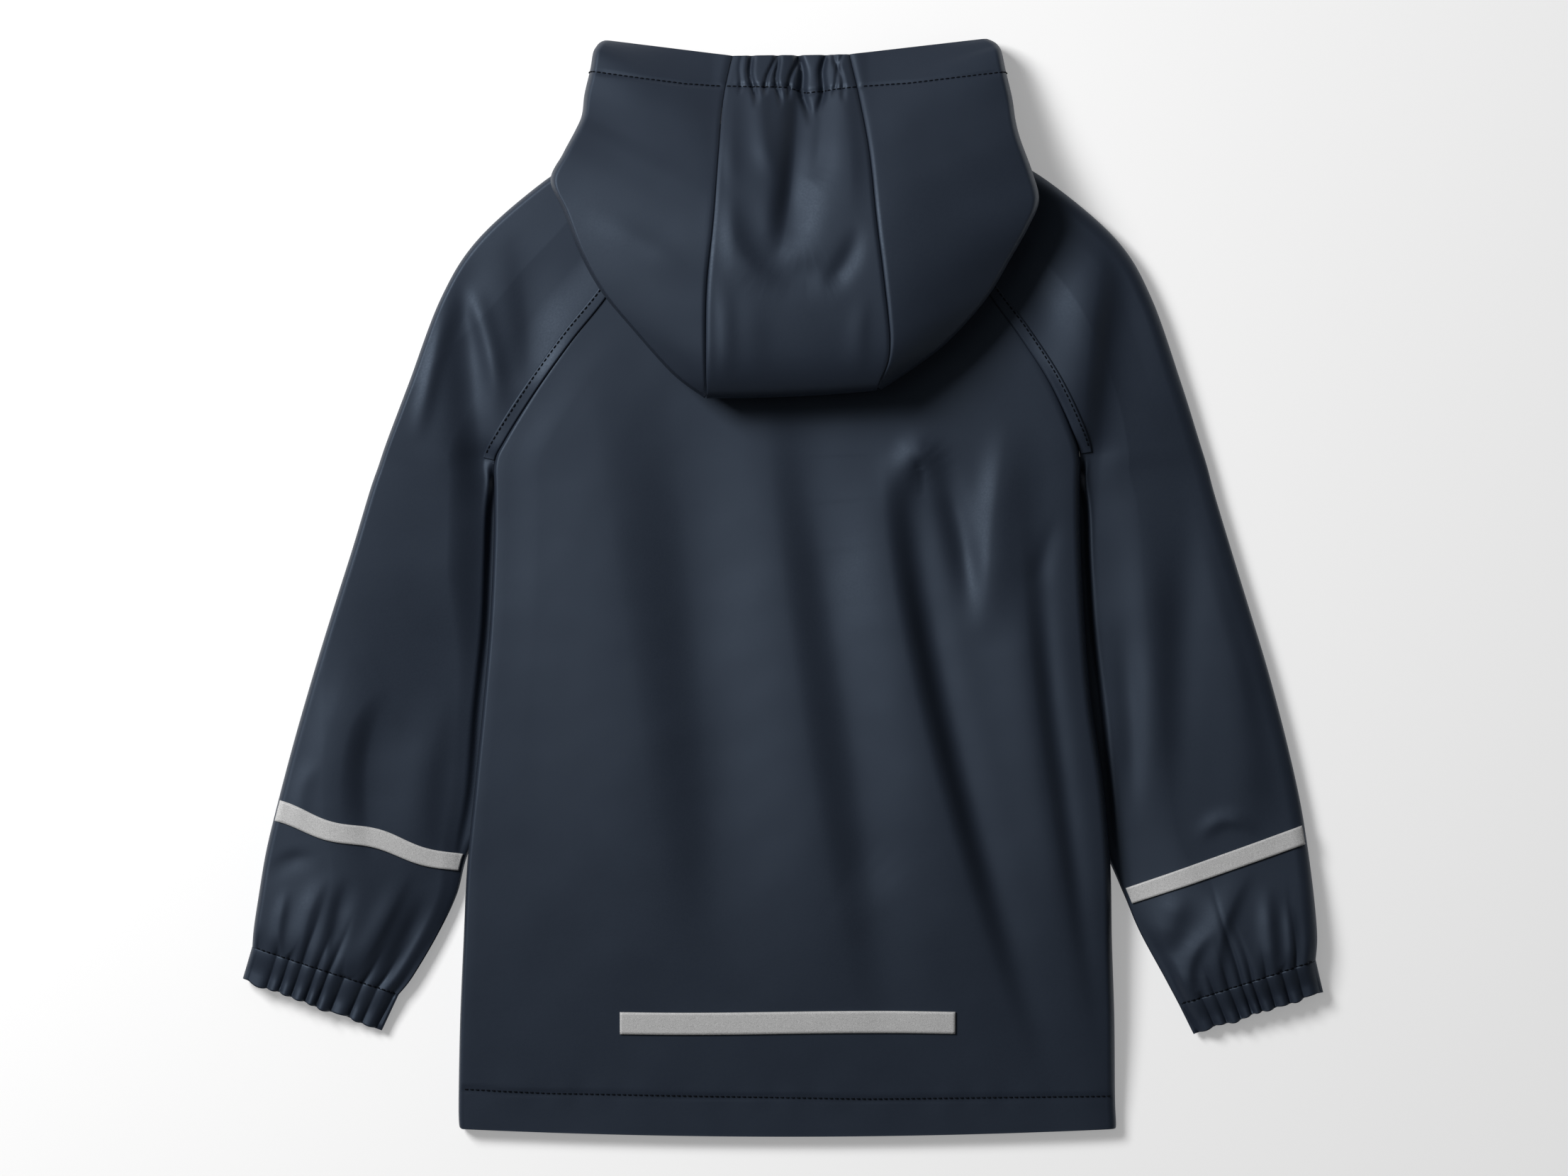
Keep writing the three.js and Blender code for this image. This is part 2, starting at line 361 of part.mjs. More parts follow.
// A closed wall between a sheet of outer points and the same sheet moved in by its thickness.
// point(u, v) gives the outer side; side is 1 or -1 for which way out is. squared(u, v, out) may
// turn the outward direction at a seam, so that both panels end square to their joint. under(u, v),
// where given, is the inner side itself: what is laid on a panel follows that panel on both sides.
function wall(point, across, lengthwise, thickness, side, { squared = (u, v, out) => out, under } = {}) {
  const columns = across.length;
  const rows = lengthwise.length;
  const outer = [];
  for (const v of lengthwise) for (const u of across) outer.push(new THREE.Vector3(...point(u, v)));
  const at = (i, j) => outer[clamp(j, 0, rows - 1) * columns + clamp(i, 0, columns - 1)];
  const inner = [];
  for (let j = 0; j < rows; j++) {
    for (let i = 0; i < columns; i++) {
      if (under) {
        inner.push(new THREE.Vector3(...under(across[i], lengthwise[j])));
        continue;
      }
      const alongU = at(i + 1, j).clone().sub(at(i - 1, j)).normalize();
      const alongV = at(i, j + 1).clone().sub(at(i, j - 1)).normalize();
      const out = alongU.cross(alongV).normalize().multiplyScalar(side);
      const turned = squared(across[i], lengthwise[j], out).normalize();
      inner.push(at(i, j).clone().addScaledVector(turned, -thickness));
    }
  }
  const positions = [...outer, ...inner].flatMap((p) => [p.x, p.y, p.z]);
  const start = outer.length;
  const index = [];
  const quad = (a, b, c, d) => {
    const order = side > 0 ? [a, b, c, a, c, d] : [a, c, b, a, d, c];
    index.push(...order);
  };
  for (let j = 0; j < rows - 1; j++) {
    for (let i = 0; i < columns - 1; i++) {
      const a = j * columns + i;
      const b = a + columns;
      quad(a, a + 1, b + 1, b);
      quad(start + a, start + b, start + b + 1, start + a + 1);
    }
  }
  for (let i = 0; i < columns - 1; i++) {
    const last = (rows - 1) * columns + i;
    quad(i, start + i, start + i + 1, i + 1);
    quad(last, last + 1, start + last + 1, start + last);
  }
  for (let j = 0; j < rows - 1; j++) {
    const a = j * columns;
    const b = a + columns - 1;
    quad(a, a + columns, start + a + columns, start + a);
    quad(b, start + b, start + b + columns, b + columns);
  }
  const geometry = new THREE.BufferGeometry();
  geometry.setAttribute("position", new THREE.Float32BufferAttribute(positions, 3));
  geometry.setIndex(index);
  return geometry;
}

// The flat facets of a wall's outer side as a surface of its own, for what is laid on that wall.
function faceted(point, across, lengthwise) {
  const cell = (list, value) => {
    let i = 0;
    while (i < list.length - 2 && list[i + 1] <= value) i++;
    return [i, clamp((value - list[i]) / (list[i + 1] - list[i]), 0, 1)];
  };
  return (u, v) => {
    const [i, s] = cell(across, u);
    const [j, t] = cell(lengthwise, v);
    const corner = (a, b) => new THREE.Vector3(...point(across[i + a], lengthwise[j + b]));
    const base = corner(0, 0);
    const far = corner(1, 1);
    const middle = s >= t ? corner(1, 0) : corner(0, 1);
    const stepU = s >= t ? middle.clone().sub(base) : far.clone().sub(middle);
    const stepV = s >= t ? far.clone().sub(middle) : middle.clone().sub(base);
    return base.addScaledVector(stepU, s).addScaledVector(stepV, t).toArray();
  };
}

// A surface moved out from another along its own outward direction.
function raised(surface, height, side) {
  const step = 1e-3;
  return (u, v) => {
    const at = (a, b) => new THREE.Vector3(...surface(a, b));
    const across = at(u + step, v).sub(at(u - step, v));
    const down = at(u, v + step).sub(at(u, v - step));
    const out = across.cross(down).normalize().multiplyScalar(side);
    return at(u, v).addScaledVector(out, height).toArray();
  };
}

// Outward directions for squared(): level with the table, and straight up or down from it.
const levelled = (out) => new THREE.Vector3(out.x, out.y, 0);
const upright = (out) => new THREE.Vector3(0, 0, Math.sign(out.z) || 1);

// n + 1 even values from a to b.
const spaced = (n, a = 0, b = 1) => Array.from({ length: n + 1 }, (_, k) => mix(a, b, k / n));

const navy = () => new THREE.MeshStandardMaterial({ color: 0x2f3a49, roughness: 0.45, metalness: 0 });
const silver = () => new THREE.MeshStandardMaterial({ color: 0xb4b6b6, roughness: 0.5, metalness: 0.3 });
const studMetal = () => new THREE.MeshStandardMaterial({ color: 0x262d38, roughness: 0.3, metalness: 0.2 });

const coat = new THREE.Group();
function add(name, geometry, material) {
  const mesh = new THREE.Mesh(geometry, material);
  mesh.name = name;
  coat.add(mesh);
}

// One edge of the body, as a row position of both tables: 0 at the hem, BODY_TOP at the last body
// row, then on along the raglan seam to the neck.
const BODY_TOP = BODY_ROWS.length - 1;
const SEAM_TOP = BODY_TOP + RAGLAN_ROWS.length;
const BODY_EDGE = [
  ...BODY_ROWS.map((r) => ({ ...r, leftX: r.left, leftY: r.y, rightX: r.right, rightY: r.y })),
  ...RAGLAN_ROWS,
];
const bodyEdge = (side, position) => ({
  x: along(BODY_EDGE, side + "X", position),
  y: along(BODY_EDGE, side + "Y", position),
  z: along(BODY_EDGE, "seamZ", position),
  top: along(BODY_EDGE, "top", position),
});

// The front raglan seam by the same row position: it drops to the table above the armpit.
function frontSeam(side, position) {
  const edge = bodyEdge(side, position);
  const up = position - BODY_TOP - 1;
  return {
    x: edge.x,
    y: edge.y - FRONT_NECK_DROP * smooth(up / 6),
    z: up > 0 ? ARMPIT_SEAM_Z * (1 - smooth(up / 2.4)) : edge.z,
  };
}

// The back: rows run from edge to edge, bowed down at the hem and at the nape.
const EDGE_ROLL = 4.5;
function backPoint(u, v) {
  const position = v * SEAM_TOP;
  const left = bodyEdge("left", position);
  const right = bodyEdge("right", position);
  const width = right.x - left.x;
  const tuckIn = HALF_GAP * smooth(position - BODY_TOP);
  const x = mix(left.x + tuckIn, right.x - tuckIn, u);
  const across = 4 * u * (1 - u);
  const bow = mix(-4.1, 0, smooth(position / 3)) + mix(0, -8, smooth(position - SEAM_TOP + 1.5));
  const y = mix(left.y, right.y, u) + bow * across;
  const edge = Math.min(u, 1 - u) * width;
  const wide = mix(rolled(edge, EDGE_ROLL), rolled(edge, 4 * EDGE_ROLL), 0.25);
  const full = left.top + foldHeight(BACK_FOLDS, x, y) * smooth(edge / 25) * smooth((position - 0.3) / 3);
  return [x, y, mix(left.z + HALF_GAP, full, wide)];
}
const RAGLAN_STEPS = [11, 11.4, 12, 13, 14, 15, 16, 17];
const SIDE_STEPS = [0, 1, 2, 2.7, 3.4, 4.1, 4.8, 5.5, 6.2, 6.9, 7.6, 8.3, 9, 9.6, 10.2, ...RAGLAN_STEPS];
const BACK_V = SIDE_STEPS.map((p) => p / SEAM_TOP);
const NEAR_EDGE = [0, 0.0036, 0.012, 0.026, 0.052];
const BACK_U = [...NEAR_EDGE, ...spaced(17, 0.09, 0.91), ...NEAR_EDGE.map((u) => 1 - u).reverse()];
function bodySquared(u, v, out) {
  if (u > 0 && u < 1) return out;
  return v * SEAM_TOP < BODY_TOP + 1.2 ? levelled(out) : upright(out);
}
add("back", wall(backPoint, BACK_U, BACK_V, CLOTH, 1, { squared: bodySquared }), navy());

// The reflective tape across the back, made from the back's own facets and moved out.
const backFacets = faceted(backPoint, BACK_U, BACK_V);
const backTapePoint = (height) => (u, v) => {
  const x = mix(BACK_TAPE.x0, BACK_TAPE.x1, u);
  const y = BACK_TAPE.y + mix(-TAPE_WIDTH, TAPE_WIDTH, v) / 2;
  let across = 0.5;
  let up = 0.15;
  for (let n = 0; n < 12; n++) {
    const [px, py] = backFacets(across, up);
    across += (x - px) / 350;
    up += (y - py) / (42 * SEAM_TOP);
  }
  return raised(backFacets, height, 1)(across, up);
};
const LAID = 0.45; // clear of the facets below, which bend across a seam or fold
const laid = (surface, across, lengthwise, side) =>
  wall(surface(LAID + TRIM), across, lengthwise, TRIM, side, { under: surface(LAID) });
add("tape_back", laid(backTapePoint, spaced(18), spaced(3), 1), silver());

// How far the front lies off the table, where the tucked sleeve passes under it.
const SLEEVE_TUCK_Z = 8.6;
function frontLift(x, y) {
  const side = x < MIDDLE_X ? "left" : "right";
  const rows = SLEEVE_ROWS[side].filter((r) => r.tuck > 0);
  const sign = side === "left" ? -1 : 1;
  let i = 0;
  while (i < rows.length - 2 && rows[i + 1].innerY > y) i++;
  const t = clamp((rows[i].innerY - y) / (rows[i].innerY - rows[i + 1].innerY), 0, 1);
  const inner = Math.abs(mix(rows[i].innerX, rows[i + 1].innerX, t));
  const lengthwise = smooth((112 - y) / 38) * smooth((y + 186) / 34);
  return SLEEVE_TUCK_Z * smooth((sign * x - inner + 34) / 30) * lengthwise;
}

// One front: rows run from the centre edge to the side or raglan seam; v is 0 at the hem. The
// first fifth of u is a strip of fixed width, where the right front steps up under the left one.
const FRONT_STRIP = 2 * OVERLAP_HALF + 6;
const UNDERLAP_Z = CLOTH + GAP;
function frontSide(side, centreX) {
  const sign = side === "left" ? -1 : 1;
  return (u, v) => {
    const position = v * SEAM_TOP;
    const seam = frontSeam(side, position);
    const edgeX = seam.x - sign * HALF_GAP * smooth(position - BODY_TOP);
    const stripX = centreX + sign * FRONT_STRIP;
    const x = u < 0.2 ? mix(centreX, stripX, u * 5) : mix(stripX, edgeX, (u - 0.2) / 0.8);
    const centreY = mix(-293, THROAT_Y, v ** 1.05);
    const power = mix(1, 2.4, smooth((position - BODY_TOP - 1) / 6));
    const y = mix(centreY, seam.y, ((x - centreX) / (edgeX - centreX)) ** power);
    const distance = Math.abs(edgeX - x);
    const lift = frontLift(x, y);
    const rise = Math.max(0, seam.z - HALF_GAP - lift);
    const stepped = 1 - smooth((x - MIDDLE_X - OVERLAP_HALF - 1) / 3);
    const overlap = side === "right" ? UNDERLAP_Z * stepped : 0;
    return [x, y, lift + rise * (1 - rolled(distance, 5)) + overlap];
  };
}
const FRONT_V = [0, 2, 3.4, 4.8, 6.2, 7.6, 9, 10.2, ...RAGLAN_STEPS].map((p) => p / SEAM_TOP);
const LEFT_U = [0, 0.2, 0.45, 0.6, 0.68, 0.76, 0.84, 0.91, 0.955, 0.98, 0.993, 1];
const RIGHT_U = [0, 0.08, 0.168, 0.188, 0.2, 0.45, 0.6, 0.68, 0.76, 0.84, 0.91, 0.955, 0.98, 0.993, 1];
const leftFront = frontSide("left", MIDDLE_X + OVERLAP_HALF);
const rightFront = frontSide("right", MIDDLE_X - OVERLAP_HALF);
const frontSquared = (u, v, out) => (u === 1 ? bodySquared(u, v, out) : out);

// A mesh as a manifold-3d solid, and back.
function solidOf(geometry) {
  const bare = new THREE.BufferGeometry();
  bare.setAttribute("position", geometry.getAttribute("position"));
  bare.setIndex(geometry.index);
  const merged = mergeVertices(bare, 1e-4);
  return new wasm.Manifold(
    new wasm.Mesh({
      numProp: 3,
      vertProperties: new Float32Array(merged.attributes.position.array),
      triVerts: new Uint32Array(merged.index.array),
    }),
  );
}
function geometryOf(solid) {
  const mesh = solid.getMesh();
  const geometry = new THREE.BufferGeometry();
  geometry.setAttribute("position", new THREE.Float32BufferAttribute(mesh.vertProperties, 3));
  geometry.setIndex([...mesh.triVerts]);
  return geometry;
}

// Press studs: caps set into holes in the left front, level with the cloth.
const STUD_SIDES = 20;
const STUD_DISH = 0.25; // depth of the hollow in the middle of a cap
const standing = (geometry, x, y, z) => geometry.rotateX(Math.PI / 2).translate(x, y, z);
let leftFrontSolid = solidOf(wall(leftFront, LEFT_U, FRONT_V, CLOTH, 1, { squared: frontSquared }));
STUD_ROWS.forEach((y, n) => {
  const hole = new THREE.CylinderGeometry(STUD_RADIUS + GAP, STUD_RADIUS + GAP, 4 * CLOTH, STUD_SIDES);
  hole.deleteAttribute("normal");
  hole.deleteAttribute("uv");
  leftFrontSolid = leftFrontSolid.subtract(solidOf(standing(hole, MIDDLE_X, y, 0)));
  const profile = [
    [0, STUD_DISH], [1.6, STUD_DISH], [2.1, 0], [STUD_RADIUS - 0.5, 0],
    [STUD_RADIUS, 0.4], [STUD_RADIUS, CLOTH], [0, CLOTH],
  ].map(([r, z]) => new THREE.Vector2(r, z));
  const cap = new THREE.LatheGeometry(profile, STUD_SIDES);
  add(`stud_${n + 1}`, standing(cap, MIDDLE_X, y, 0), studMetal());
});
add("front_left", geometryOf(leftFrontSolid), navy());
add("front_right", wall(rightFront, RIGHT_U, FRONT_V, CLOTH, -1, { squared: frontSquared }), navy());

// A sleeve: u runs from the back raglan seam over the top to the outer edge at 0.5, and back along
// the table to the front raglan seam; below the armpit both ends meet at the underarm seam.
const ARMPIT_ROW = RAGLAN_ROWS.length - 1;
function sleeveRow(side, position) {
  const sign = side === "left" ? -1 : 1;
  const seams = (n) => [bodyEdge(side, SEAM_TOP - n), frontSeam(side, SEAM_TOP - n)];
  const rows = SLEEVE_ROWS[side].map((r, i) => {
    if (i > ARMPIT_ROW) {
      return { ...r, frontX: r.innerX, frontY: r.innerY, frontZ: r.innerZ, tuckZ: SLEEVE_TUCK_Z - 2 };
    }
    const [back, front] = seams(i);
    const inner = { innerX: back.x + sign * HALF_GAP, innerY: back.y, innerZ: back.z };
    const under = { frontX: front.x + sign * HALF_GAP, frontY: front.y, frontZ: front.z };
    return { ...r, ...inner, ...under, tuck: 0, tuckZ: 0 };
  });
  const row = {};
  for (const column of Object.keys(rows[0])) row[column] = along(rows, column, position);
  if (position < ARMPIT_ROW) {
    const [back, front] = seams(position);
    Object.assign(row, { innerX: back.x + sign * HALF_GAP, innerY: back.y, innerZ: back.z, tuck: 0 });
    Object.assign(row, { frontX: front.x + sign * HALF_GAP, frontY: front.y, frontZ: front.z });
  }
  return row;
}
const SLEEVE_END = SLEEVE_ROWS.left.length - 1;
function climbAt(side, position) {
  const row = {};
  for (const column of ["share", "short", "start", "long", "lift"]) {
    row[column] = between(CLIMB_ROWS[side], "row", column, position);
  }
  return row;
}
const SLEEVE_ROLL = { left: 3.5, right: 8 };
function sleeveSurface(side) {
  return (u, v) => {
    const position = v * SLEEVE_END;
    const r = sleeveRow(side, position);
    const top = u <= 0.5;
    const w = top ? 2 * u : 2 - 2 * u;
    const startX = top ? r.innerX : r.frontX;
    const startY = top ? r.innerY : r.frontY;
    const width = Math.hypot(r.outerX - startX, r.outerY - startY);
    const roll = Math.min(SLEEVE_ROLL[side], width / 3);
    const x = mix(startX, r.outerX, w);
    const y = mix(startY, r.outerY, w);
    const below = smooth(position - ARMPIT_ROW);
    const fromInner = w * width;
    const slit = HALF_GAP * below;
    if (!top) {
      const reach = mix(35, 4, below);
      const rise = (r.frontZ - slit) * (1 - (below > 0 ? rolled(fromInner, reach) : smooth(fromInner / reach)));
      return [x, y, rise + r.outerZ * (1 - rolled(width - fromInner, roll))];
    }
    const tucked = mix(r.innerZ, Math.max(r.innerZ, r.tuckZ), rolled(fromInner, 4));
    const fromBody = fromInner - r.tuck;
    const c = climbAt(side, position);
    const climb = mix(smooth((fromBody - c.start) / c.long), smooth(fromBody / c.short), c.share);
    const crest = r.crest + c.lift - CREST_FALL * Math.max(0, fromBody - FALL_START);
    const down = position - ARMPIT_ROW;
    const lip = LIP * smooth(fromBody / 3) * smooth(down) * (1 - smooth((down - 2) / 4));
    const open = mix(r.innerZ, tucked, below) + slit * (1 - smooth(fromInner / 4)) + lip;
    const nearEdges = smooth(position / 2) * smooth((width - fromInner) / 18) * smooth(fromBody / 12);
    const folds = foldHeight(SLEEVE_FOLDS[side], x, y) * nearEdges;
    const full = mix(open, crest, climb) + folds;
    return [x, y, mix(r.outerZ, full, rolled(width - fromInner, roll))];
  };
}
const SLEEVE_TOP_U = [0, 0.02, 0.06, 0.12, 0.18, 0.24, 0.3, 0.36, 0.41, 0.455, 0.48, 0.493, 0.5];
const SLEEVE_U = [...SLEEVE_TOP_U, 0.507, 0.52, 0.55, 0.62, 0.75, 0.86, 0.93, 0.97, 1];
const SLEEVE_V = [0, 1, 2, 3, 4, 5, 5.6, 6, 6.4, 7, 7.6, 8.2, 9, 10, 11, 12, 13, 13.7, 14.4, 15.2, 16, 17].map(
  (p) => p / SLEEVE_END,
);
function sleeveSquared(u, v, out) {
  if (u > 0 && u < 1) return out;
  return v * SLEEVE_END > ARMPIT_ROW - 0.2 ? levelled(out) : upright(out);
}

// A cuff: the same ring carried on to the open end, with uneven pleats on the side that shows.
const PLEAT_PHASE = { left: 0.6, right: 2.1 };
function cuffSurface(side) {
  const sleeve = sleeveSurface(side);
  const end = CUFFS[side];
  return (u, v) => {
    const [startX, startY, startZ] = sleeve(u, 1);
    const w = u <= 0.5 ? 2 * u : 2 - 2 * u;
    const endX = mix(end.innerX, end.outerX, w);
    const endY = mix(end.innerY, end.outerY, w);
    const uneven = w + 0.012 * Math.sin(9.2 * w + PLEAT_PHASE[side]) + 0.007 * Math.sin(23 * w + 1.3);
    const pleat = u < 0.5 ? Math.cos(2 * Math.PI * CUFF_PLEATS * uneven) * Math.sin(2 * Math.PI * u) ** 0.5 : 0;
    const lift = u < 0.5 ? (1.1 * pleat - 1.1) * mix(0.7, 1, v) : 0;
    const away = GAP + v * (Math.hypot(endX - startX, endY - startY) - GAP);
    const t = away / Math.hypot(endX - startX, endY - startY);
    const squeeze = mix(1, 0.82, smooth(v * 1.4));
    return [mix(startX, endX, t), mix(startY, endY, t), Math.max(0, startZ * squeeze + lift)];
  };
}
const CUFF_U = [...Array.from({ length: 45 }, (_, k) => k / 88), 0.52, 0.54, 0.58, 0.75, 0.92, 0.96, 0.98, 1];

// A reflective tape over the sleeve, between two places along it at the inner and outer edge.
const SLEEVE_TAPES = {
  left: { inner: 13.3, outer: 13.2, length: 0.38, waver: 0.05 },
  right: { inner: 14.07, outer: 13.77, length: 0.41, waver: 0 },
};
const sleeveTape = (side) => (height) => {
  const sleeve = faceted(sleeveSurface(side), SLEEVE_U, SLEEVE_V);
  const tape = SLEEVE_TAPES[side];
  const strip = (u, v) => {
    const middle = mix(tape.inner, tape.outer, 2 * Math.min(u, 0.5)) + tape.waver * Math.sin(25 * u - 1);
    return sleeve(u, (middle + tape.length * (v - 0.5)) / SLEEVE_END);
  };
  return raised(strip, height, side === "left" ? 1 : -1);
};
const TAPE_U = [0.035, ...SLEEVE_U.filter((u) => u > 0.04 && u < 0.49), 0.49];

// The raised band beside each back raglan seam, on the sleeve.
const band = (side) => (height) => {
  const sleeve = faceted(sleeveSurface(side), SLEEVE_U, SLEEVE_V);
  const strip = (u, v) => {
    const position = mix(1.4, ARMPIT_ROW - 0.45, v);
    const r = sleeveRow(side, position);
    const width = Math.hypot(r.outerX - r.innerX, r.outerY - r.innerY);
    return sleeve((mix(GAP, BAND_WIDTH, u) / width) / 2, position / SLEEVE_END);
  };
  return raised(strip, height, side === "left" ? 1 : -1);
};

for (const side of ["left", "right"]) {
  const out = side === "left" ? 1 : -1;
  const sleeve = wall(sleeveSurface(side), SLEEVE_U, SLEEVE_V, CLOTH, out, { squared: sleeveSquared });
  add(`sleeve_${side}`, sleeve, navy());
  add(`cuff_${side}`, wall(cuffSurface(side), CUFF_U, spaced(3), CLOTH, out), navy());
  add(`tape_${side}`, laid(sleeveTape(side), TAPE_U, spaced(3), out), silver());
  add(`band_${side}`, laid(band(side), spaced(2), spaced(14), out), navy());
}

// Hood: one point of a strip seam, by row number of HOOD_SEAM_ROWS.
const SEAM_END = HOOD_SEAM_ROWS.length - 1;
const hoodSeam = (side, position) => [
  along(HOOD_SEAM_ROWS, side + "X", position),
  along(HOOD_SEAM_ROWS, side + "Y", position),
  along(HOOD_SEAM_ROWS, "z", position),
];

// Folds and gathers of the layer of the hood that shows.
function hoodRelief(x, y) {
  const aboveSeam = y - between(CASING_ROWS, "x", "y", x);
  let gathers = 0;
  for (const g of FACE_GATHERS) {
    const fade = aboveSeam < 0 ? smooth(1 + aboveSeam / g.length) : 1;
    gathers -= g.depth * Math.exp(-(((x - g.x) / GATHER_SPREAD) ** 2)) * fade;
  }
  return foldHeight(HOOD_FOLDS, x, y) + gathers;
}

// The middle strip: u across, v along its seams.
function stripPoint(u, v) {
  const position = v * SEAM_END;
  const left = hoodSeam("left", position);
  const right = hoodSeam("right", position);
  const width = right[0] - left[0];
  const t = mix(HALF_GAP / width, 1 - HALF_GAP / width, u);
  const across = 4 * t * (1 - t);
  const upper = smooth((position - HOOD_SEAM_FOLD - 0.8) / 1.6);
  const x = mix(left[0], right[0], t);
  const y = mix(left[1], right[1], t) - 1.2 * across * smooth(1 - Math.abs(position - HOOD_SEAM_FOLD) / 1.5);
  const z = mix(left[2], right[2], t) + upper * smooth(across * 2) * hoodRelief(x, y);
  return [x, y, z];
}
const HAIRPIN_ROWS = [3.6, 4.1, 4.6, 5, 5.35, 5.7, 6.2];
const STRIP_V = [0, 1, 2, 3, ...HAIRPIN_ROWS, 6.8, 7.4, 8, 8.5, 9, 9.5, 10, 10.7, 11.35, 12].map((p) => p / SEAM_END);
const alongSeam = (out) => new THREE.Vector3(0, out.y, out.z);
const stripSquared = (u, v, out) => (u === 0 || u === 1 ? alongSeam(out) : out);
const STRIP_U = [0, 0.05, 0.11, ...spaced(25, 0.16, 0.86), 0.93, 1];
add("hood_strip", wall(stripPoint, STRIP_U, STRIP_V, CLOTH, 1, { squared: stripSquared }), navy());

// A side panel of the hood: u runs from the strip seam over the outline to the hidden edge, v from
// the bottom fold to the face edge.
const SIDE_END = HOOD_SIDE_ROWS.left.length - 1;
const LOWER_SEAM_ROWS = 5; // rows whose hidden edge follows the strip seam
function hoodSideRow(side, position) {
  const sign = side === "left" ? -1 : 1;
  const rows = HOOD_SIDE_ROWS[side].map((r, i) => {
    const upper = hoodSeam(side, mix(HOOD_SEAM_FOLD + 0.7, SEAM_END, (i / SIDE_END) ** 0.92));
    const low = {};
    if (i < LOWER_SEAM_ROWS) {
      const lower = hoodSeam(side, mix(HOOD_SEAM_FOLD - 0.9, 0.6, i / (LOWER_SEAM_ROWS - 1)));
      Object.assign(low, { lowX: lower[0], lowY: lower[1], lowZ: lower[2] });
    }
    return { ...r, ...low, upX: upper[0] + sign * GAP, upY: upper[1], upZ: upper[2] };
  });
  const row = {};
  for (const column of Object.keys(rows[0])) row[column] = along(rows, column, position);
  return row;
}
const HOOD_ROLL = 4;
function hoodSideSurface(side) {
  const sign = side === "left" ? -1 : 1;
  return (u, v) => {
    const position = v * SIDE_END;
    const r = hoodSideRow(side, position);
    if (u <= 0.5) {
      const w = 2 * u;
      const width = Math.hypot(r.outX - r.upX, r.outY - r.upY);
      const x = mix(r.upX, r.outX, w);
      const y = mix(r.upY, r.outY, w);
      const slope = mix(r.upZ, r.rim, w ** 1.25);
      const relief = hoodRelief(x, y) * smooth(w * 12) * smooth((1 - w) * 8);
      return [x, y, mix(r.outZ, slope + relief, rolled((1 - w) * width, Math.min(HOOD_ROLL, width * 0.6 + 1)))];
    }
    const w = 2 - 2 * u;
    const seamX = r.lowX + sign * GAP * smooth(LOWER_SEAM_ROWS - position);
    const lowX = sign * Math.max(sign * (seamX - MIDDLE_X), HALF_GAP) + MIDDLE_X;
    const width = Math.hypot(r.outX - lowX, r.outY - r.lowY);
    const floor = position > 10 ? 0 : r.lowZ;
    const near = smooth((w * width) / 20);
    const level = Math.max(0, mix(r.lowZ, mix(floor, r.lowZ, 0.5), near));
    const roll = Math.min(HOOD_ROLL, width * 0.6 + 1);
    return [mix(lowX, r.outX, w), mix(r.lowY, r.outY, w), mix(r.outZ, level, rolled((1 - w) * width, roll))];
  };
}
const HOOD_U = [0, 0.06, 0.14, 0.22, 0.3, 0.38, 0.44, 0.475, 0.492, 0.5, 0.508, 0.525, 0.56, 0.64, 0.78, 0.9, 1];
const HOOD_V = [0, 0.5, ...spaced(7, 1, 8), 8.6, 9.2, 9.8, 10.4, ...spaced(4, 11, 15)].map((p) => p / SIDE_END);
for (const side of ["left", "right"]) {
  const out = side === "left" ? -1 : 1;
  const seam = LOWER_SEAM_ROWS - 0.5;
  const squared = (u, v, n) => {
    if (v === 0 || u === 0 || (u === 1 && v * SIDE_END < seam)) return alongSeam(n);
    return u === 1 && v * SIDE_END > 10.5 ? new THREE.Vector3(0, 0, -1) : n;
  };
  add(`hood_${side}`, wall(hoodSideSurface(side), HOOD_U, HOOD_V, CLOTH, out, { squared }), navy());
}

export default coat;
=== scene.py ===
# %% [markdown]
# # A child's raincoat, laid flat with its back up
#
# The coat is cut from thin cloth with a smooth waterproof coating. It has a back, two fronts, two
# raglan sleeves with gathered cuffs and a hood of three pieces, and it lies on its front, so the
# hood lies on the back. Coated cloth is stiff: it takes a few long soft folds, not many small ones.
#
# A cloth simulation could drop a flat pattern on a floor, but the folds would fall anywhere. Here
# each panel is a surface worked out from its seams and a table of folds, so that every fold lies
# where it does on the real coat. First the solid model is loaded: it is the frame for all pieces.

import bpy
import numpy as np
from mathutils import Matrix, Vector


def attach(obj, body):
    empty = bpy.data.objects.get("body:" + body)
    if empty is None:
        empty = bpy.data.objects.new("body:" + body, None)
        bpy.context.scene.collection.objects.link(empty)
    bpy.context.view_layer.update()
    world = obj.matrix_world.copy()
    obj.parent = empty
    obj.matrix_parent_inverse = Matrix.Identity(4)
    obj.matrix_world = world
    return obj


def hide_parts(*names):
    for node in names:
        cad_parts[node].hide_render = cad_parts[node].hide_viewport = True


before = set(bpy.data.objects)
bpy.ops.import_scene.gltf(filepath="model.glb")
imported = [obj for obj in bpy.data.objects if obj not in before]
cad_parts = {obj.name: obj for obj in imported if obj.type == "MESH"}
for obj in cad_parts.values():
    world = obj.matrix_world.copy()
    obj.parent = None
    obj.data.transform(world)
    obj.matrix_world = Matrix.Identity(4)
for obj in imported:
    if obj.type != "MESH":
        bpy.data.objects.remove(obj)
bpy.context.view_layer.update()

# %% [markdown]
# ## Tables and how they are read
#
# All sizes below are millimetres. A row of a table is a place along a seam or an edge, and the
# seam between rows is a smooth curve through them. along() reads one column at a row number that
# may lie between rows. It could be a straight line from row to row, but a sewn seam has no
# corners, so a cubic through four rows is used. eased() reads a value that must not swing past its
# rows: it leaves each row softly and comes to the next one softly.

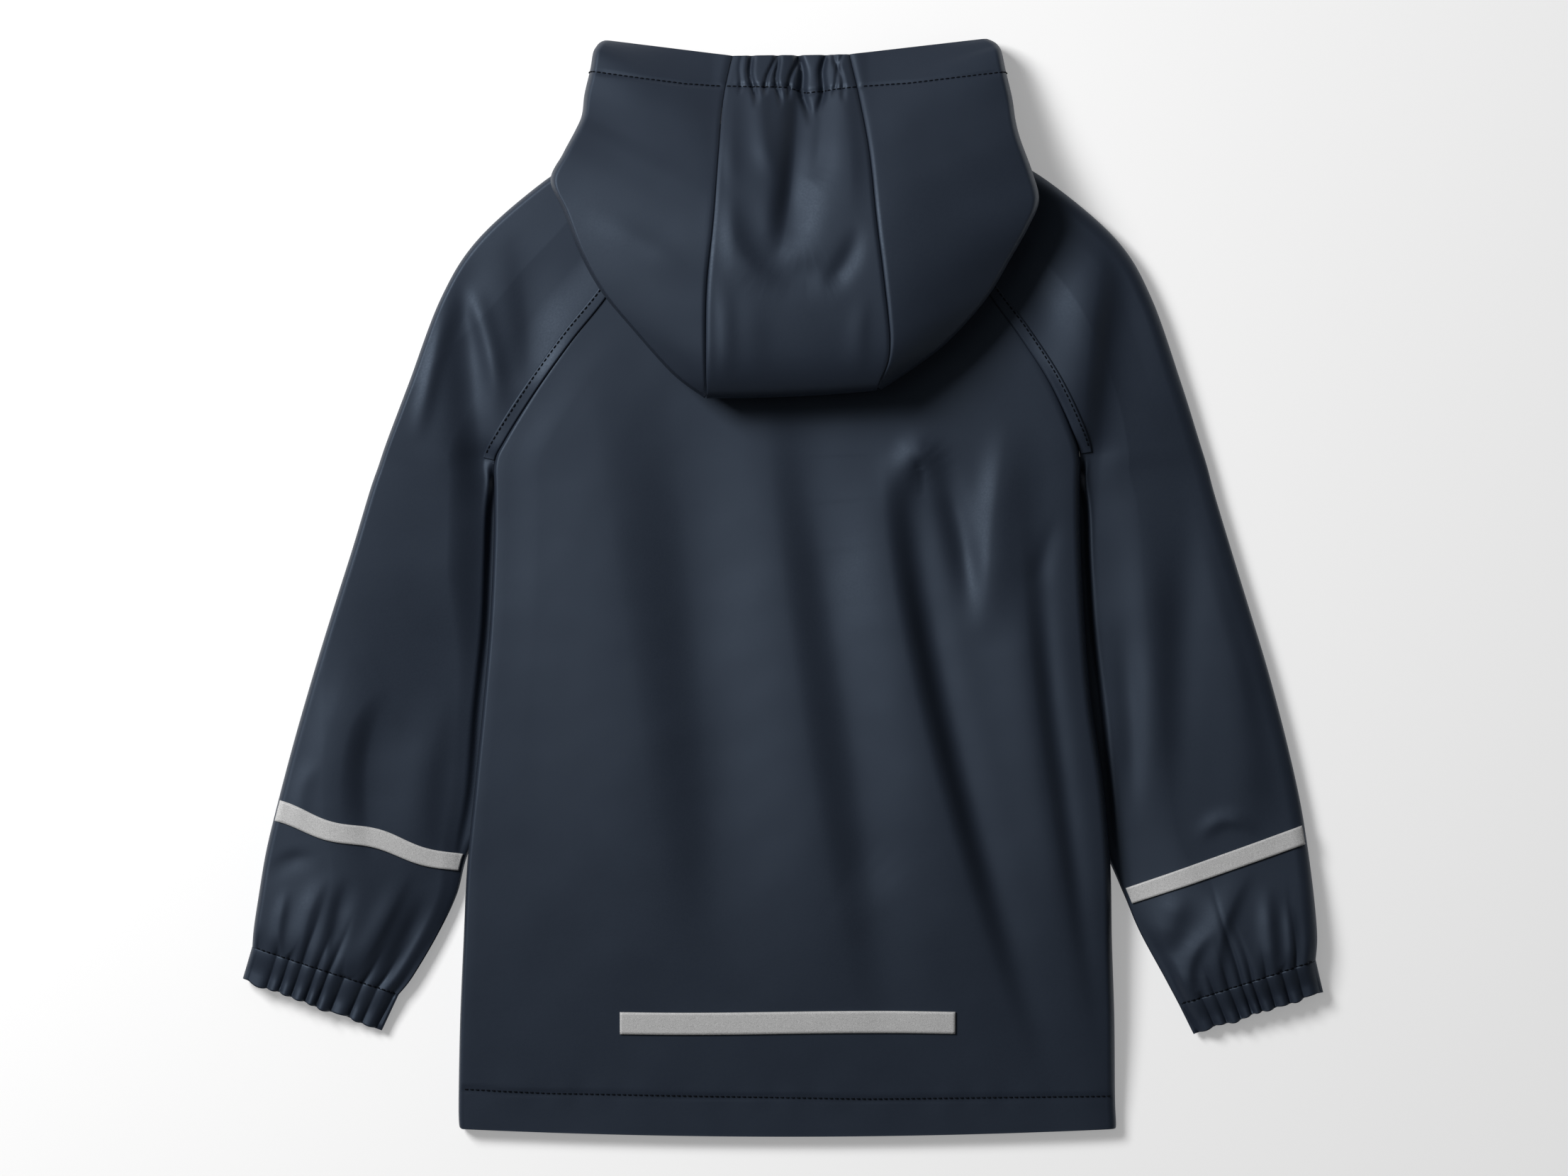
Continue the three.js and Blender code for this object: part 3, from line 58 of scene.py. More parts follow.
# %% Reading tables
CLOTH = 1.2  # how thick the coated cloth is
GAP = 0.06  # between two pieces at a seam
HALF_GAP = GAP / 2
MIDDLE_X = 5.0  # where the two fronts close
SIGN = {"left": -1, "right": 1}


def table(columns, rows):
    values = np.array(rows, dtype=float)
    return {name: values[:, k] for k, name in enumerate(columns.split())}


def mix(a, b, t):
    return a + (b - a) * t


def smooth(t):
    c = np.clip(t, 0, 1)
    return c * c * (3 - 2 * c)


def rolled(distance, radius):
    t = np.clip(distance / radius, 0, 1)
    return np.sqrt(np.maximum(0, 1 - (1 - t) ** 2))


def along(column, position):
    last = len(column) - 1
    i = np.clip(np.floor(position).astype(int), 0, last - 1)
    t = position - i
    before, here = column[np.clip(i - 1, 0, last)], column[i]
    after, beyond = column[i + 1], column[np.clip(i + 2, 0, last)]
    t2, t3 = t * t, t * t * t
    slope_here, slope_after = (after - before) / 2, (beyond - here) / 2
    value = (2 * t3 - 3 * t2 + 1) * here + (t3 - 2 * t2 + t) * slope_here
    return value + (3 * t2 - 2 * t3) * after + (t3 - t2) * slope_after


def eased(position, rows, values):
    i = np.clip(np.searchsorted(rows, position, side="right") - 1, 0, len(rows) - 2)
    return mix(values[i], values[i + 1], smooth((position - rows[i]) / (rows[i + 1] - rows[i])))


print("a rolled edge is at", round(float(rolled(3.0, 9.0)), 2), "of its height a third of the way in")

# %% [markdown]
# ## Folds
#
# A fold of coated cloth is a long low ridge, or a trough between two ridges, that dies away at its
# ends. One side of it is often steeper than the other. Each row of a fold table holds three points
# that its crest runs through, from its lower end upwards, its height, and how wide it is on the left
# and on the right of somebody who walks along it that way. Sculpting would give the same, but a row
# of numbers can be moved by a millimetre and made again.

# %% Adding folds to a surface
FOLD_COLUMNS = "x0 y0 x1 y1 x2 y2 height left right"
FOLD_END = 0.4  # the share of its length over which a fold dies away at either end


def fold_height(folds, x, y, steps=12):
    total = np.zeros_like(x)
    t = np.linspace(0, 1, steps + 1)
    a, b, c = (1 - t) * (1 - 2 * t), 4 * t * (1 - t), t * (2 * t - 1)
    for x0, y0, x1, y1, x2, y2, height, left, right in zip(*folds.values()):
        px, py = a * x0 + b * x1 + c * x2, a * y0 + b * y1 + c * y2
        nearest = np.full_like(x, 1e9)
        place = np.zeros_like(x)
        side = np.zeros_like(x)
        for n in range(steps):
            dx, dy = px[n + 1] - px[n], py[n + 1] - py[n]
            s = np.clip(((x - px[n]) * dx + (y - py[n]) * dy) / (dx * dx + dy * dy), 0, 1)
            gx, gy = x - px[n] - s * dx, y - py[n] - s * dy
            gap = np.hypot(gx, gy)
            closer = gap < nearest
            nearest = np.where(closer, gap, nearest)
            place = np.where(closer, (n + s) / steps, place)
            side = np.where(closer, dx * gy - dy * gx, side)
        spread = np.where(side > 0, left, right)
        ends = smooth(place / FOLD_END) * smooth((1 - place) / FOLD_END)
        total += height * np.exp(-((nearest / spread) ** 2)) * ends
    return total


one_fold = table(FOLD_COLUMNS, [(0, 0, 0, 50, 0, 100, 2, 10, 20)])
beside = fold_height(one_fold, np.array([-10.0, 0.0, 10.0]), np.full(3, 50.0))
print("a fold of 2 mm, 10 mm to its left, on it and 10 mm to its right:", beside.round(2))

# %% [markdown]
# ## From a surface to a piece of cloth
#
# shell() turns a grid of points into a thin closed piece. The outer side has every point of the
# grid, since that is where light shows each fold. The inner side needs fewer, so it takes every
# fourth or every second one, and a rim joins the two. A Solidify modifier would give both sides the
# same number of points and twice the weight for nothing.

# %% Directions, meshes and faces
def outward(points, side):
    across = np.gradient(points, axis=1)
    up = np.gradient(points, axis=0)
    normal = np.cross(across, up)
    length = np.linalg.norm(normal, axis=2, keepdims=True)
    return side * normal / np.maximum(length, 1e-9)


def add_piece(name, points, faces, flat_faces=0):
    mesh = bpy.data.meshes.new(name)
    mesh.from_pydata((np.asarray(points) * 0.001).tolist(), [], faces)
    smooth_faces = np.ones(len(faces), dtype=bool)
    if flat_faces:
        smooth_faces[-flat_faces:] = False
    mesh.polygons.foreach_set("use_smooth", smooth_faces)
    mesh.update()
    piece = bpy.data.objects.new(name, mesh)
    bpy.context.collection.objects.link(piece)
    return piece


def grid_faces(numbers, side):
    a, b = numbers[:-1, :-1], numbers[:-1, 1:]
    c, d = numbers[1:, 1:], numbers[1:, :-1]
    order = [a, b, c, d] if side > 0 else [a, d, c, b]
    return np.stack([k.ravel() for k in order], axis=1).tolist()


def every(count, step):
    picked = list(range(0, count - 1, step))
    if picked[-1] != count - 1:
        picked.append(count - 1)
    return picked


def rim_faces(outer, inner, picked, side):
    faces = []
    for n, (start, end) in enumerate(zip(picked[:-1], picked[1:])):
        face = [int(k) for k in outer[start:end + 1]] + [int(inner[n + 1]), int(inner[n])]
        faces.append(face if side < 0 else face[::-1])
    return faces


print("of 10 points, the inner side keeps", every(10, 4))

# %% Thin closed pieces from a grid of points
def shell(name, points, side, thickness=CLOTH, turned=None, step=4):
    rows, columns = points.shape[:2]
    normal = outward(points, side)
    if turned is not None:
        normal = turned(normal)
        normal = normal / np.linalg.norm(normal, axis=2, keepdims=True)
    row_picks, column_picks = every(rows, step), every(columns, step)
    inside = (points - thickness * normal)[np.ix_(row_picks, column_picks)]
    outer = np.arange(rows * columns).reshape(rows, columns)
    inner = rows * columns + np.arange(inside.shape[0] * inside.shape[1]).reshape(inside.shape[:2])
    faces = grid_faces(outer, side) + grid_faces(inner, -side)
    rim = rim_faces(outer[0], inner[0], column_picks, side)
    rim += rim_faces(outer[-1], inner[-1], column_picks, -side)
    rim += rim_faces(outer[:, 0], inner[:, 0], row_picks, -side)
    rim += rim_faces(outer[:, -1], inner[:, -1], row_picks, side)
    both = np.concatenate([points.reshape(-1, 3), inside.reshape(-1, 3)])
    return add_piece(name, both, faces + rim, len(rim))


def grid(across, lengthwise):
    return np.meshgrid(across, lengthwise)


def crowded(count, amount):
    t = np.linspace(0, 1, count + 1)
    return t - amount * np.sin(2 * np.pi * t) / (2 * np.pi)


print("points crowd towards both ends:", crowded(6, 0.55).round(2))

# %% [markdown]
# ## The back
#
# The back is the largest piece. It runs from the hem up both side seams to the armpits and on
# along the raglan seams to the neck. A sleeve lies under each side edge, so the seam is highest in
# the middle. The edge rolls over in a quarter circle, because the cloth turns there to the front.
# The seam of the hem pulls the cloth down in a fine groove. A bump map could draw that line, but in
# the surface itself it also shows from the side and in the mesh.

# %% Edges and folds of the back
BODY = table("y left right seam_z top", [
    (-289.3, -172.4, 178, 4.6, 10), (-286.6, -173.4, 178.4, 4.7, 10.2), (-272, -173.6, 177.8, 5, 11.5),
    (-231, -172.7, 177.4, 6.5, 15.5), (-189, -170.8, 176, 8.5, 18.5), (-147, -168.6, 175, 11.5, 20.5),
    (-105, -164.4, 171.4, 12.8, 21.5), (-63, -160.2, 165.2, 12.8, 21.5), (-21, -156.6, 161.6, 12.8, 21),
    (21, -154.6, 159.4, 12.8, 20.5), (50, -154.2, 158.8, 12.6, 20.5),
])
RAGLAN = table("left_x left_y right_x right_y seam_z top", [
    (-154, 67, 158.7, 70, 12.5, 20.5), (-148.5, 78.5, 153.5, 86, 17, 20.5), (-133, 103, 142, 110, 19.5, 20.4),
    (-113, 131, 126, 134.5, 20, 20.2), (-92, 158, 109, 158, 19.8, 19.8), (-76, 190, 91, 190, 18.8, 19),
    (-64, 231, 75, 231, 17, 17.5),
])
BACK_FOLDS = table(FOLD_COLUMNS, [
    (-54, -250, -82, -40, -112, 156, 3.2, 42, 22),
    (-30, -250, -44, -40, -66, 140, -2.4, 18, 26),
    (46, -262, 10, -70, -16, 150, 3.8, 28, 14),
    (60, -262, 34, -60, 0, 120, -2.0, 12, 18),
    (140, -284, 72, -62, 52, 92, 7.0, 34, 10),
    (150, -284, 86, -62, 66, 84, -3.0, 7, 10),
    (62, 34, 70, 70, 84, 52, 3.2, 9, 7),
    (104, -22, 94, 30, 82, 76, -2.8, 7, 7),
    (108, -34, 112, 30, 122, 96, 3.4, 9, 16),
    (172, -280, 138, -90, 124, 60, 3.4, 22, 8),
    (180, -280, 146, -92, 136, 50, -2.0, 7, 8),
    (134, -2, 141, 20, 150, 44, -0.8, 5, 7),
    (96, -250, 62, -180, 34, -150, 1.6, 18, 18),
])
BODY_TOP = len(BODY["y"]) - 1
SEAM_TOP = BODY_TOP + len(RAGLAN["top"])
EDGE_X = {side: np.concatenate([BODY[side], RAGLAN[side + "_x"]]) for side in ("left", "right")}
EDGE_Y = {side: np.concatenate([BODY["y"], RAGLAN[side + "_y"]]) for side in ("left", "right")}
EDGE_Z = np.concatenate([BODY["seam_z"], RAGLAN["seam_z"]])
EDGE_TOP = np.concatenate([BODY["top"], RAGLAN["top"]])
print("side seam rows:", BODY_TOP + 1, "raglan rows:", SEAM_TOP - BODY_TOP)

# %% The seam of the hem
HEM_SEAM = table("x y", [(-172.7, -267.7), (-125.6, -270), (0.6, -272.3), (47, -273), (177.3, -271.5)])
SEAM_DIP, SEAM_DIP_WIDTH = 0.35, 0.9  # the groove under the stitches
SEAM_STEP, SEAM_STEP_WIDTH = 0.45, 1.6  # below them the cloth stays lower
RIPPLE, RIPPLE_REACH = 0.12, 7  # beside them it is drawn in a little


def hem_y(x):
    return np.interp(x, HEM_SEAM["x"], HEM_SEAM["y"])


def hem_relief(x, y):
    above = y - hem_y(x)
    groove = SEAM_DIP * np.exp(-((above / SEAM_DIP_WIDTH) ** 2))
    dip = groove + SEAM_STEP * smooth(0.5 - above / SEAM_STEP_WIDTH)
    ripple = RIPPLE * np.sin(x / 4.1 + 1.4 * np.sin(x / 17)) * np.exp(-((above / RIPPLE_REACH) ** 2))
    return ripple - dip


print("the hem is", round(float(hem_y(BODY["left"][0]) - BODY["y"][0]), 1), "mm deep at its left end")

# %% The surface of the back
EDGE_ROLL = {"left": 1.9, "right": 4.5}
EDGE_FALL = {"left": 0.08, "right": 0.25}  # the share of the height that takes four times that width
HEM_BOW, NECK_BOW = -4.1, -8  # how far the middle of the hem and of the neck lie below their ends
FOLD_MARGIN = 25  # folds die away this far from the side seams


def body_edge(side, position):
    return along(EDGE_X[side], position), along(EDGE_Y[side], position), along(EDGE_Z, position)


def back_surface(u, v):
    position = v * SEAM_TOP
    left_x, left_y, seam_z = body_edge("left", position)
    right_x, right_y, _ = body_edge("right", position)
    tuck_in = HALF_GAP * smooth(position - BODY_TOP)
    x = mix(left_x + tuck_in, right_x - tuck_in, u)
    bow = mix(HEM_BOW, 0, smooth(position / 3)) + mix(0, NECK_BOW, smooth(position - SEAM_TOP + 1.5))
    y = mix(left_y, right_y, u) + bow * 4 * u * (1 - u)
    edge = np.minimum(u, 1 - u) * (right_x - left_x)
    roll, fall = (np.where(u < 0.5, sizes["left"], sizes["right"]) for sizes in (EDGE_ROLL, EDGE_FALL))
    wide = mix(rolled(edge, roll), rolled(edge, 4 * roll), fall)
    relief = fold_height(BACK_FOLDS, x, y) * smooth(edge / FOLD_MARGIN) * smooth((position - 0.3) / 3)
    relief = relief + hem_relief(x, y) * smooth(edge / 3)
    z = mix(seam_z + HALF_GAP, along(EDGE_TOP, position) + relief, wide)
    return np.stack([x, y, z], axis=2)


def body_turned(positions):
    def turned(normal):
        for column in (0, -1):
            low = positions < BODY_TOP + 1.2
            normal[low, column, 2] = 0
            sign = np.sign(normal[~low, column, 2:3])
            normal[~low, column] = np.concatenate([np.zeros((sign.shape[0], 2)), sign], axis=1)
        return normal
    return turned


# %% Make the back
HEM_ROWS = 2.6  # the rows of the table that are near the hem get more points
back_u = crowded(230, 0.55)
back_v = np.concatenate([np.linspace(0, HEM_ROWS, 51)[:-1], np.linspace(HEM_ROWS, SEAM_TOP, 300)])
back_v = back_v / SEAM_TOP
back_points = back_surface(*grid(back_u, back_v))
back = shell("cloth_back", back_points, 1, turned=body_turned(back_v * SEAM_TOP))
print("back:", len(back.data.polygons), "faces, highest", round(float(back_points[..., 2].max()), 1))

# %% [markdown]
# ## The fronts
#
# The two fronts lie flat on the table, so they are plain, and only their sides rise to meet the
# back. Where a sleeve is pushed under the coat, the front lies on it. The left front covers the
# right one in the middle, and the press studs sit there in holes of the left front.

# %% Sleeve rows, which the fronts need as well
SLEEVE_COLUMNS = "inner_x inner_y inner_z outer_x outer_y outer_z crest tuck"
SEAM = (0, 0, 0)  # rows beside the raglan seam take their inner point from it
SLEEVES = {
    "left": table(SLEEVE_COLUMNS, [
        (*SEAM, -82, 243, 9, 17, 0), (*SEAM, -101, 234, 8.5, 18, 0), (*SEAM, -129.4, 216.4, 8, 19, 0),
        (*SEAM, -163.6, 186, 7.5, 19.5, 0), (*SEAM, -183, 155, 7, 20, 0), (*SEAM, -200, 110, 7, 19.5, 0),
        (*SEAM, -211.5, 79.6, 7, 19, 0), (-151, 55, 6, -216.5, 65, 7, 18.5, 3),
        (-138, 36, 3.6, -221, 52, 7, 18.5, 18), (-127, 8, 3.6, -230, 22, 7, 18.5, 30),
        (-126, -30, 3.6, -239.5, -8, 7, 18.5, 33), (-135, -75, 3.6, -250, -42, 7, 18, 29),
        (-152, -114, 3.6, -261, -80, 7, 17.5, 15), (-168, -141, 4, -270, -114, 7, 17, 4),
        (-174.5, -164, 5.5, -276.5, -141, 7, 17, 0), (-185, -186, 6.5, -280.8, -167, 7.5, 17.5, 0),
        (-198, -208, 7, -283, -182, 8, 17, 0), (-205.6, -217.6, 7, -283.8, -191.6, 8, 15.5, 0),
    ]),
    "right": table(SLEEVE_COLUMNS, [
        (*SEAM, 93, 243, 9, 17, 0), (*SEAM, 112, 235, 8.5, 18, 0), (*SEAM, 143.5, 216.4, 8, 19, 0),
        (*SEAM, 178.8, 186, 7.5, 19.5, 0), (*SEAM, 197, 155.6, 7, 20, 0), (*SEAM, 213, 110, 7, 19.5, 0),
        (*SEAM, 222.5, 79.6, 7, 19, 0), (155.5, 57, 6, 227, 65, 7, 18.5, 3),
        (142, 37, 3.6, 231, 50, 7, 18.5, 19), (131, 8, 3.6, 240, 20, 7, 18.5, 31),
        (131, -32, 3.6, 249.5, -11, 7, 18.5, 34), (141, -78, 3.6, 259.5, -44, 7, 18, 30),
        (158, -118, 3.6, 269, -80, 7, 17.5, 17), (173, -143, 4, 276.3, -112, 7, 17, 4),
        (182.5, -164, 5.5, 280.5, -137, 7, 17, 0), (191, -184, 6.5, 284, -164, 7.5, 17.5, 0),
        (204, -208, 7, 285.8, -186, 8, 17, 0), (212, -223, 7, 285, -199, 8, 15.5, 0),
    ]),
}
ARMPIT_ROW = len(RAGLAN["top"]) - 1
SLEEVE_END = len(SLEEVES["left"]["crest"]) - 1
SLEEVE_TUCK_Z = 8.6  # a front is lifted to this height where a sleeve is pushed under it
print("sleeve rows:", SLEEVE_END + 1, "of them beside the raglan seam:", ARMPIT_ROW + 1)

# %% The surface of a front
ARMPIT_SEAM_Z, FRONT_NECK_DROP = 12.5, 9.0
FRONT_HEM_Y, THROAT_Y, CHIN_Y, OVERLAP_HALF = -293, 185.0, 222.0, 12.0
FRONT_STRIP, STRIP_SHARE = 2 * OVERLAP_HALF + 6, 0.2  # the strip with the studs has points of its own
FRONT_ROLL = 5
ARMPIT_FALL = 12.0  # above a tucked sleeve the front comes down to the table within this length


def front_seam(side, position):
    x, y, z = body_edge(side, position)
    up = position - BODY_TOP - 1
    dropped = ARMPIT_SEAM_Z * (1 - smooth(up / 2.4))
    return x, y - FRONT_NECK_DROP * smooth(up / 6), np.where(up > 0, dropped, z)


def front_lift(side, x, y):
    rows = SLEEVES[side]
    tucked = rows["tuck"] > 0
    inner = np.interp(-y, -rows["inner_y"][tucked], SIGN[side] * rows["inner_x"][tucked])
    lengthwise = smooth((rows["inner_y"][tucked][0] - y) / ARMPIT_FALL + 1) * smooth((y + 186) / 34)
    return SLEEVE_TUCK_Z * smooth((SIGN[side] * x - inner + 34) / 30) * lengthwise


def front_surface(side, u, v):
    sign = SIGN[side]
    centre_x = MIDDLE_X - sign * OVERLAP_HALF
    position = v * SEAM_TOP
    seam_x, seam_y, seam_z = front_seam(side, position)
    edge_x = seam_x - sign * HALF_GAP * smooth(position - BODY_TOP)
    strip_x = centre_x + sign * FRONT_STRIP
    beyond = mix(strip_x, edge_x, (u - STRIP_SHARE) / (1 - STRIP_SHARE))
    x = np.where(u < STRIP_SHARE, mix(centre_x, strip_x, u / STRIP_SHARE), beyond)
    power = mix(1, 2.4, smooth((position - BODY_TOP - 1) / 6))
    middle_y = mix(FRONT_HEM_Y, THROAT_Y, v ** 1.05)
    y = mix(middle_y, seam_y, ((x - centre_x) / (edge_x - centre_x)) ** power)
    lift = front_lift(side, x, y)
    rise = np.maximum(0, seam_z - HALF_GAP - lift)
    stepped = 1 - smooth((x - MIDDLE_X - OVERLAP_HALF - 1) / 3)
    overlap = (CLOTH + GAP) * stepped if side == "right" else 0
    z = lift + rise * (1 - rolled(np.abs(edge_x - x), FRONT_ROLL)) + overlap
    return np.stack([x, y, z], axis=2)


print("the fronts overlap by", 2 * OVERLAP_HALF, "mm")

# %% Make the fronts, with the stud holes in the left one
STUD_ROWS, STUD_RADIUS = (-255, -155, -55, 45, 145), 5.5
PUNCH = {"vertices": 40, "radius": (STUD_RADIUS + GAP) / 1000, "depth": 0.0026}


def front_turned(normal):
    whole = body_turned(front_v * SEAM_TOP)(normal.copy())
    normal[:, -1] = whole[:, -1]
    return normal


beside_strip = (1 - STRIP_SHARE) * (1 - (1 - np.linspace(0, 1, 71)) ** 1.3)
front_u = np.concatenate([np.linspace(0, STRIP_SHARE, 31)[:-1], STRIP_SHARE + beside_strip])
front_v = np.linspace(0, 1, 181)
fronts = {}
for side in ("left", "right"):
    points = front_surface(side, *grid(front_u, front_v))
    fronts[side] = shell(f"cloth_front_{side}", points, -SIGN[side], turned=front_turned)
for y in STUD_ROWS:
    bpy.ops.mesh.primitive_cylinder_add(location=(MIDDLE_X / 1000, y / 1000, 0), **PUNCH)
    punch = bpy.context.object
    cut = fronts["left"].modifiers.new("stud hole", "BOOLEAN")
    cut.operation, cut.object, cut.solver = "DIFFERENCE", punch, "MANIFOLD"
    bpy.context.view_layer.objects.active = fronts["left"]
    bpy.ops.object.modifier_apply(modifier=cut.name)
    bpy.data.objects.remove(punch)
print("left front:", len(fronts["left"].data.polygons), "faces after", len(STUD_ROWS), "stud holes")

# %% [markdown]
# ## The sleeves
#
# A raglan sleeve is one piece, rolled into a tube. Seen from above, the table gives its two edges,
# and the tube is a wide flat roll between them. The first half of u goes over the top from the
# back raglan seam to the outer edge, and the second half comes back along the table. Below the
# armpit both ends meet at the underarm seam, which is pushed in under the body. Two flat layers
# would be simpler, but an arm has room in a sleeve, and the light shows its round outer edge.

# %% Folds of the sleeves
SLEEVE_FOLDS = {
    "left": table(FOLD_COLUMNS, [
        (-160, 32, -166, 104, -174, 192, -3.8, 11, 9),
        (-151, 90, -158, 132, -174, 172, 2.2, 5, 6),
        (-136, 104, -135, 140, -143, 200, -1.9, 9, 14),
        (-196, 76, -188, 120, -180, 164, 2.2, 5, 5),
        (-232, -156, -234, -84, -208, -50, 1.6, 20, 7),
        (-216, -156, -222, -98, -210, -60, -1.8, 6, 14),
        (-186, -158, -192, -110, -176, -44, 1.6, 12, 9),
        (-256, -134, -258, -108, -246, -92, 0.9, 7, 5),
        (-280, -160, -266, -146, -246, -146, -0.8, 4, 6),
        (-270, -200, -269, -180, -264, -158, 1.2, 4, 3),
        (-258, -202, -254, -178, -242, -150, 1.3, 6, 3.5),
        (-240, -206, -238, -178, -230, -152, -1.8, 4, 6),
        (-232, -210, -216, -184, -198, -146, 1.7, 7, 4),
        (-216, -216, -202, -190, -188, -160, -2.0, 5, 7),
    ]),
    "right": table(FOLD_COLUMNS, [
        (157, 60, 163, 128, 173, 200, 5.2, 20, 10),
        (166, -20, 173, 100, 184, 200, -1.6, 9, 24),
        (200, -120, 198, -30, 188, 60, 1.5, 11, 10),
        (186, -130, 186, -70, 180, -10, -1.6, 7, 6),
        (212, -140, 212, -40, 222, 70, -1.3, 10, 11),
        (248, -150, 244, -60, 222, 110, 1.7, 15, 11),
        (220, -138, 236, -124, 256, -132, 1.2, 5, 4),
        (238, -222, 233, -188, 252, -146, 2.2, 9, 4),
        (224, -226, 217, -202, 234, -178, 2.2, 7, 4),
        (262, -212, 260, -186, 258, -156, 1.8, 5, 4),
        (272, -208, 272, -188, 269, -164, 1.4, 4, 3),
        (206, -196, 208, -178, 216, -160, 1.6, 9, 7),
    ]),
}
print("folds:", {side: len(folds["height"]) for side, folds in SLEEVE_FOLDS.items()})

# %% How a sleeve comes up beside the body
SHOWN_EDGE = table("row z", [(5, 0), (6, 12.5), (8, 11.6), (11, 9.8), (14, 7), (17, 7)])
SHOWN_REACH = 4.0  # below the armpit a sleeve comes up from under the body within this width
# A share of the rise is within a short width, and the rest goes from the start of a long one. The top
# is lifted by some millimetres there, and falls by its slope beyond the long width.
CLIMB_COLUMNS = "row share short start long lift fall"
CLIMB = {
    "left": table(CLIMB_COLUMNS, [
        (0, 1, 26, 0, 40, -1.2, 0.05), (3, 1, 26, 0, 45, -1.2, 0.05), (6, 0.85, 25, 0, 60, 1.2, 0.05),
        (9, 0.55, 23, 0, 80, 1.5, 0.05), (11, 0.1, 12, 0, 85, 1, 0.05), (17, 0.3, 8, 0, 50, 1, 0.05),
    ]),
    "right": table(CLIMB_COLUMNS, [
        (0, 1, 26, 0, 40, -1.2, 0.05), (3, 1, 26, 0, 36, -1.4, 0.1), (6, 0.5, 22, 0, 26, -4, 0.09),
        (9, 0, 20, 0, 30, -6, 0.03), (12, 0, 20, 0, 34, -5, 0.02), (17, 0.4, 8, 0, 50, 0, 0.02),
    ]),
}


def climb_of(side, position, from_body):
    row, *columns = CLIMB[side].values()
    share, short, start, long, lift, fall = (eased(position, row, column) for column in columns)
    rise = mix(smooth((from_body - start) / long), smooth(from_body / short), share)
    return rise, lift - fall * np.maximum(0, from_body - long)


print("rows of the climb:", {side: len(rows["row"]) for side, rows in CLIMB.items()})

# %% The rows of a sleeve at any place
TUCK_SLACK = 2  # the tucked part of a sleeve is this much lower than the front over it


def seam_point(side, position):
    sign = SIGN[side]
    back = body_edge(side, SEAM_TOP - position)
    front = front_seam(side, SEAM_TOP - position)
    return (back[0] + sign * HALF_GAP, *back[1:]), (front[0] + sign * HALF_GAP, *front[1:])


def sleeve_rows(side, position):
    rows = {name: values.copy() for name, values in SLEEVES[side].items()}
    rows["front_x"], rows["front_y"] = rows["inner_x"].copy(), rows["inner_y"].copy()
    rows["front_z"] = rows["inner_z"].copy()
    rows["tuck_z"] = np.full(SLEEVE_END + 1, SLEEVE_TUCK_Z - TUCK_SLACK)
    upper = np.arange(ARMPIT_ROW + 1)
    rows["tuck_z"][upper] = 0
    table_points = seam_point(side, upper)
    exact_points = seam_point(side, np.minimum(position, ARMPIT_ROW))
    result = {}
    for name, points, exact in zip(("inner", "front"), table_points, exact_points):
        for axis, values, true_values in zip("xyz", points, exact):
            column = rows[f"{name}_{axis}"]
            column[upper] = values
            result[f"{name}_{axis}"] = np.where(position < ARMPIT_ROW, true_values, along(column, position))
    for name in ("outer_x", "outer_y", "outer_z", "crest", "tuck", "tuck_z"):
        result[name] = along(rows[name], position)
    result["tuck"] = np.where(position < ARMPIT_ROW, 0, result["tuck"])
    return result


print("the left sleeve is pushed in by", float(sleeve_rows("left", np.array([10.0]))["tuck"][0]), "mm")

# %% From the rows of a sleeve to its surface
SLEEVE_ROLL = {"left": 3.5, "right": 8.0}
UNDER_REACH, TUCK_ROLL = 35, 4  # how far from its seam the underside comes down, and so below the armpit
OUTER_MARGIN, BODY_MARGIN = 18, 6  # folds die away this far from the outer edge and from the body
WALLS_APART = 2.6  # the underside stays this far below the top


def sleeve_surface(side, u, v, relief=None):
    position = v * SLEEVE_END
    r = sleeve_rows(side, position)
    top = u <= 0.5
    w = np.where(top, 2 * u, 2 - 2 * u)
    start_x, start_y = np.where(top, r["inner_x"], r["front_x"]), np.where(top, r["inner_y"], r["front_y"])
    x, y = mix(start_x, r["outer_x"], w), mix(start_y, r["outer_y"], w)
    width = np.hypot(r["outer_x"] - start_x, r["outer_y"] - start_y)
    from_inner, from_outer = w * width, (1 - w) * width
    roll = np.minimum(SLEEVE_ROLL[side], width / 3)
    below = smooth(position - ARMPIT_ROW)
    slit = HALF_GAP * below
    reach = mix(UNDER_REACH, TUCK_ROLL, below)
    from_body = from_inner - r["tuck"]
    climb, lift = climb_of(side, position, from_body)
    crest = r["crest"] + lift
    fall = np.where(below > 0, rolled(from_inner, reach), smooth(from_inner / reach))
    under_z = (r["front_z"] - slit) * (1 - fall) + r["outer_z"] * (1 - rolled(from_outer, roll))
    tucked = mix(r["inner_z"], np.maximum(r["inner_z"], r["tuck_z"]), rolled(from_inner, TUCK_ROLL))
    opening = mix(r["inner_z"], tucked, below) + slit * (1 - smooth(from_inner / TUCK_ROLL))
    missing = np.maximum(0, eased(position, SHOWN_EDGE["row"], SHOWN_EDGE["z"]) - opening)
    opening = opening + missing * smooth(from_body / SHOWN_REACH)
    folds = fold_height(SLEEVE_FOLDS[side], x, y) * smooth(position / 2) * smooth(from_outer / OUTER_MARGIN)
    if relief is not None:
        folds = folds + relief(w, position, from_outer)
    full = mix(opening, crest, climb) + folds * smooth(from_body / BODY_MARGIN)
    under_z = np.minimum(under_z, np.maximum(0, full - WALLS_APART * smooth(from_inner / 3)))
    z = np.where(top, mix(r["outer_z"], full, rolled(from_outer, roll)), under_z)
    return np.stack([x, y, z], axis=2)


print("the sleeves roll over their outer edges within", SLEEVE_ROLL, "mm")

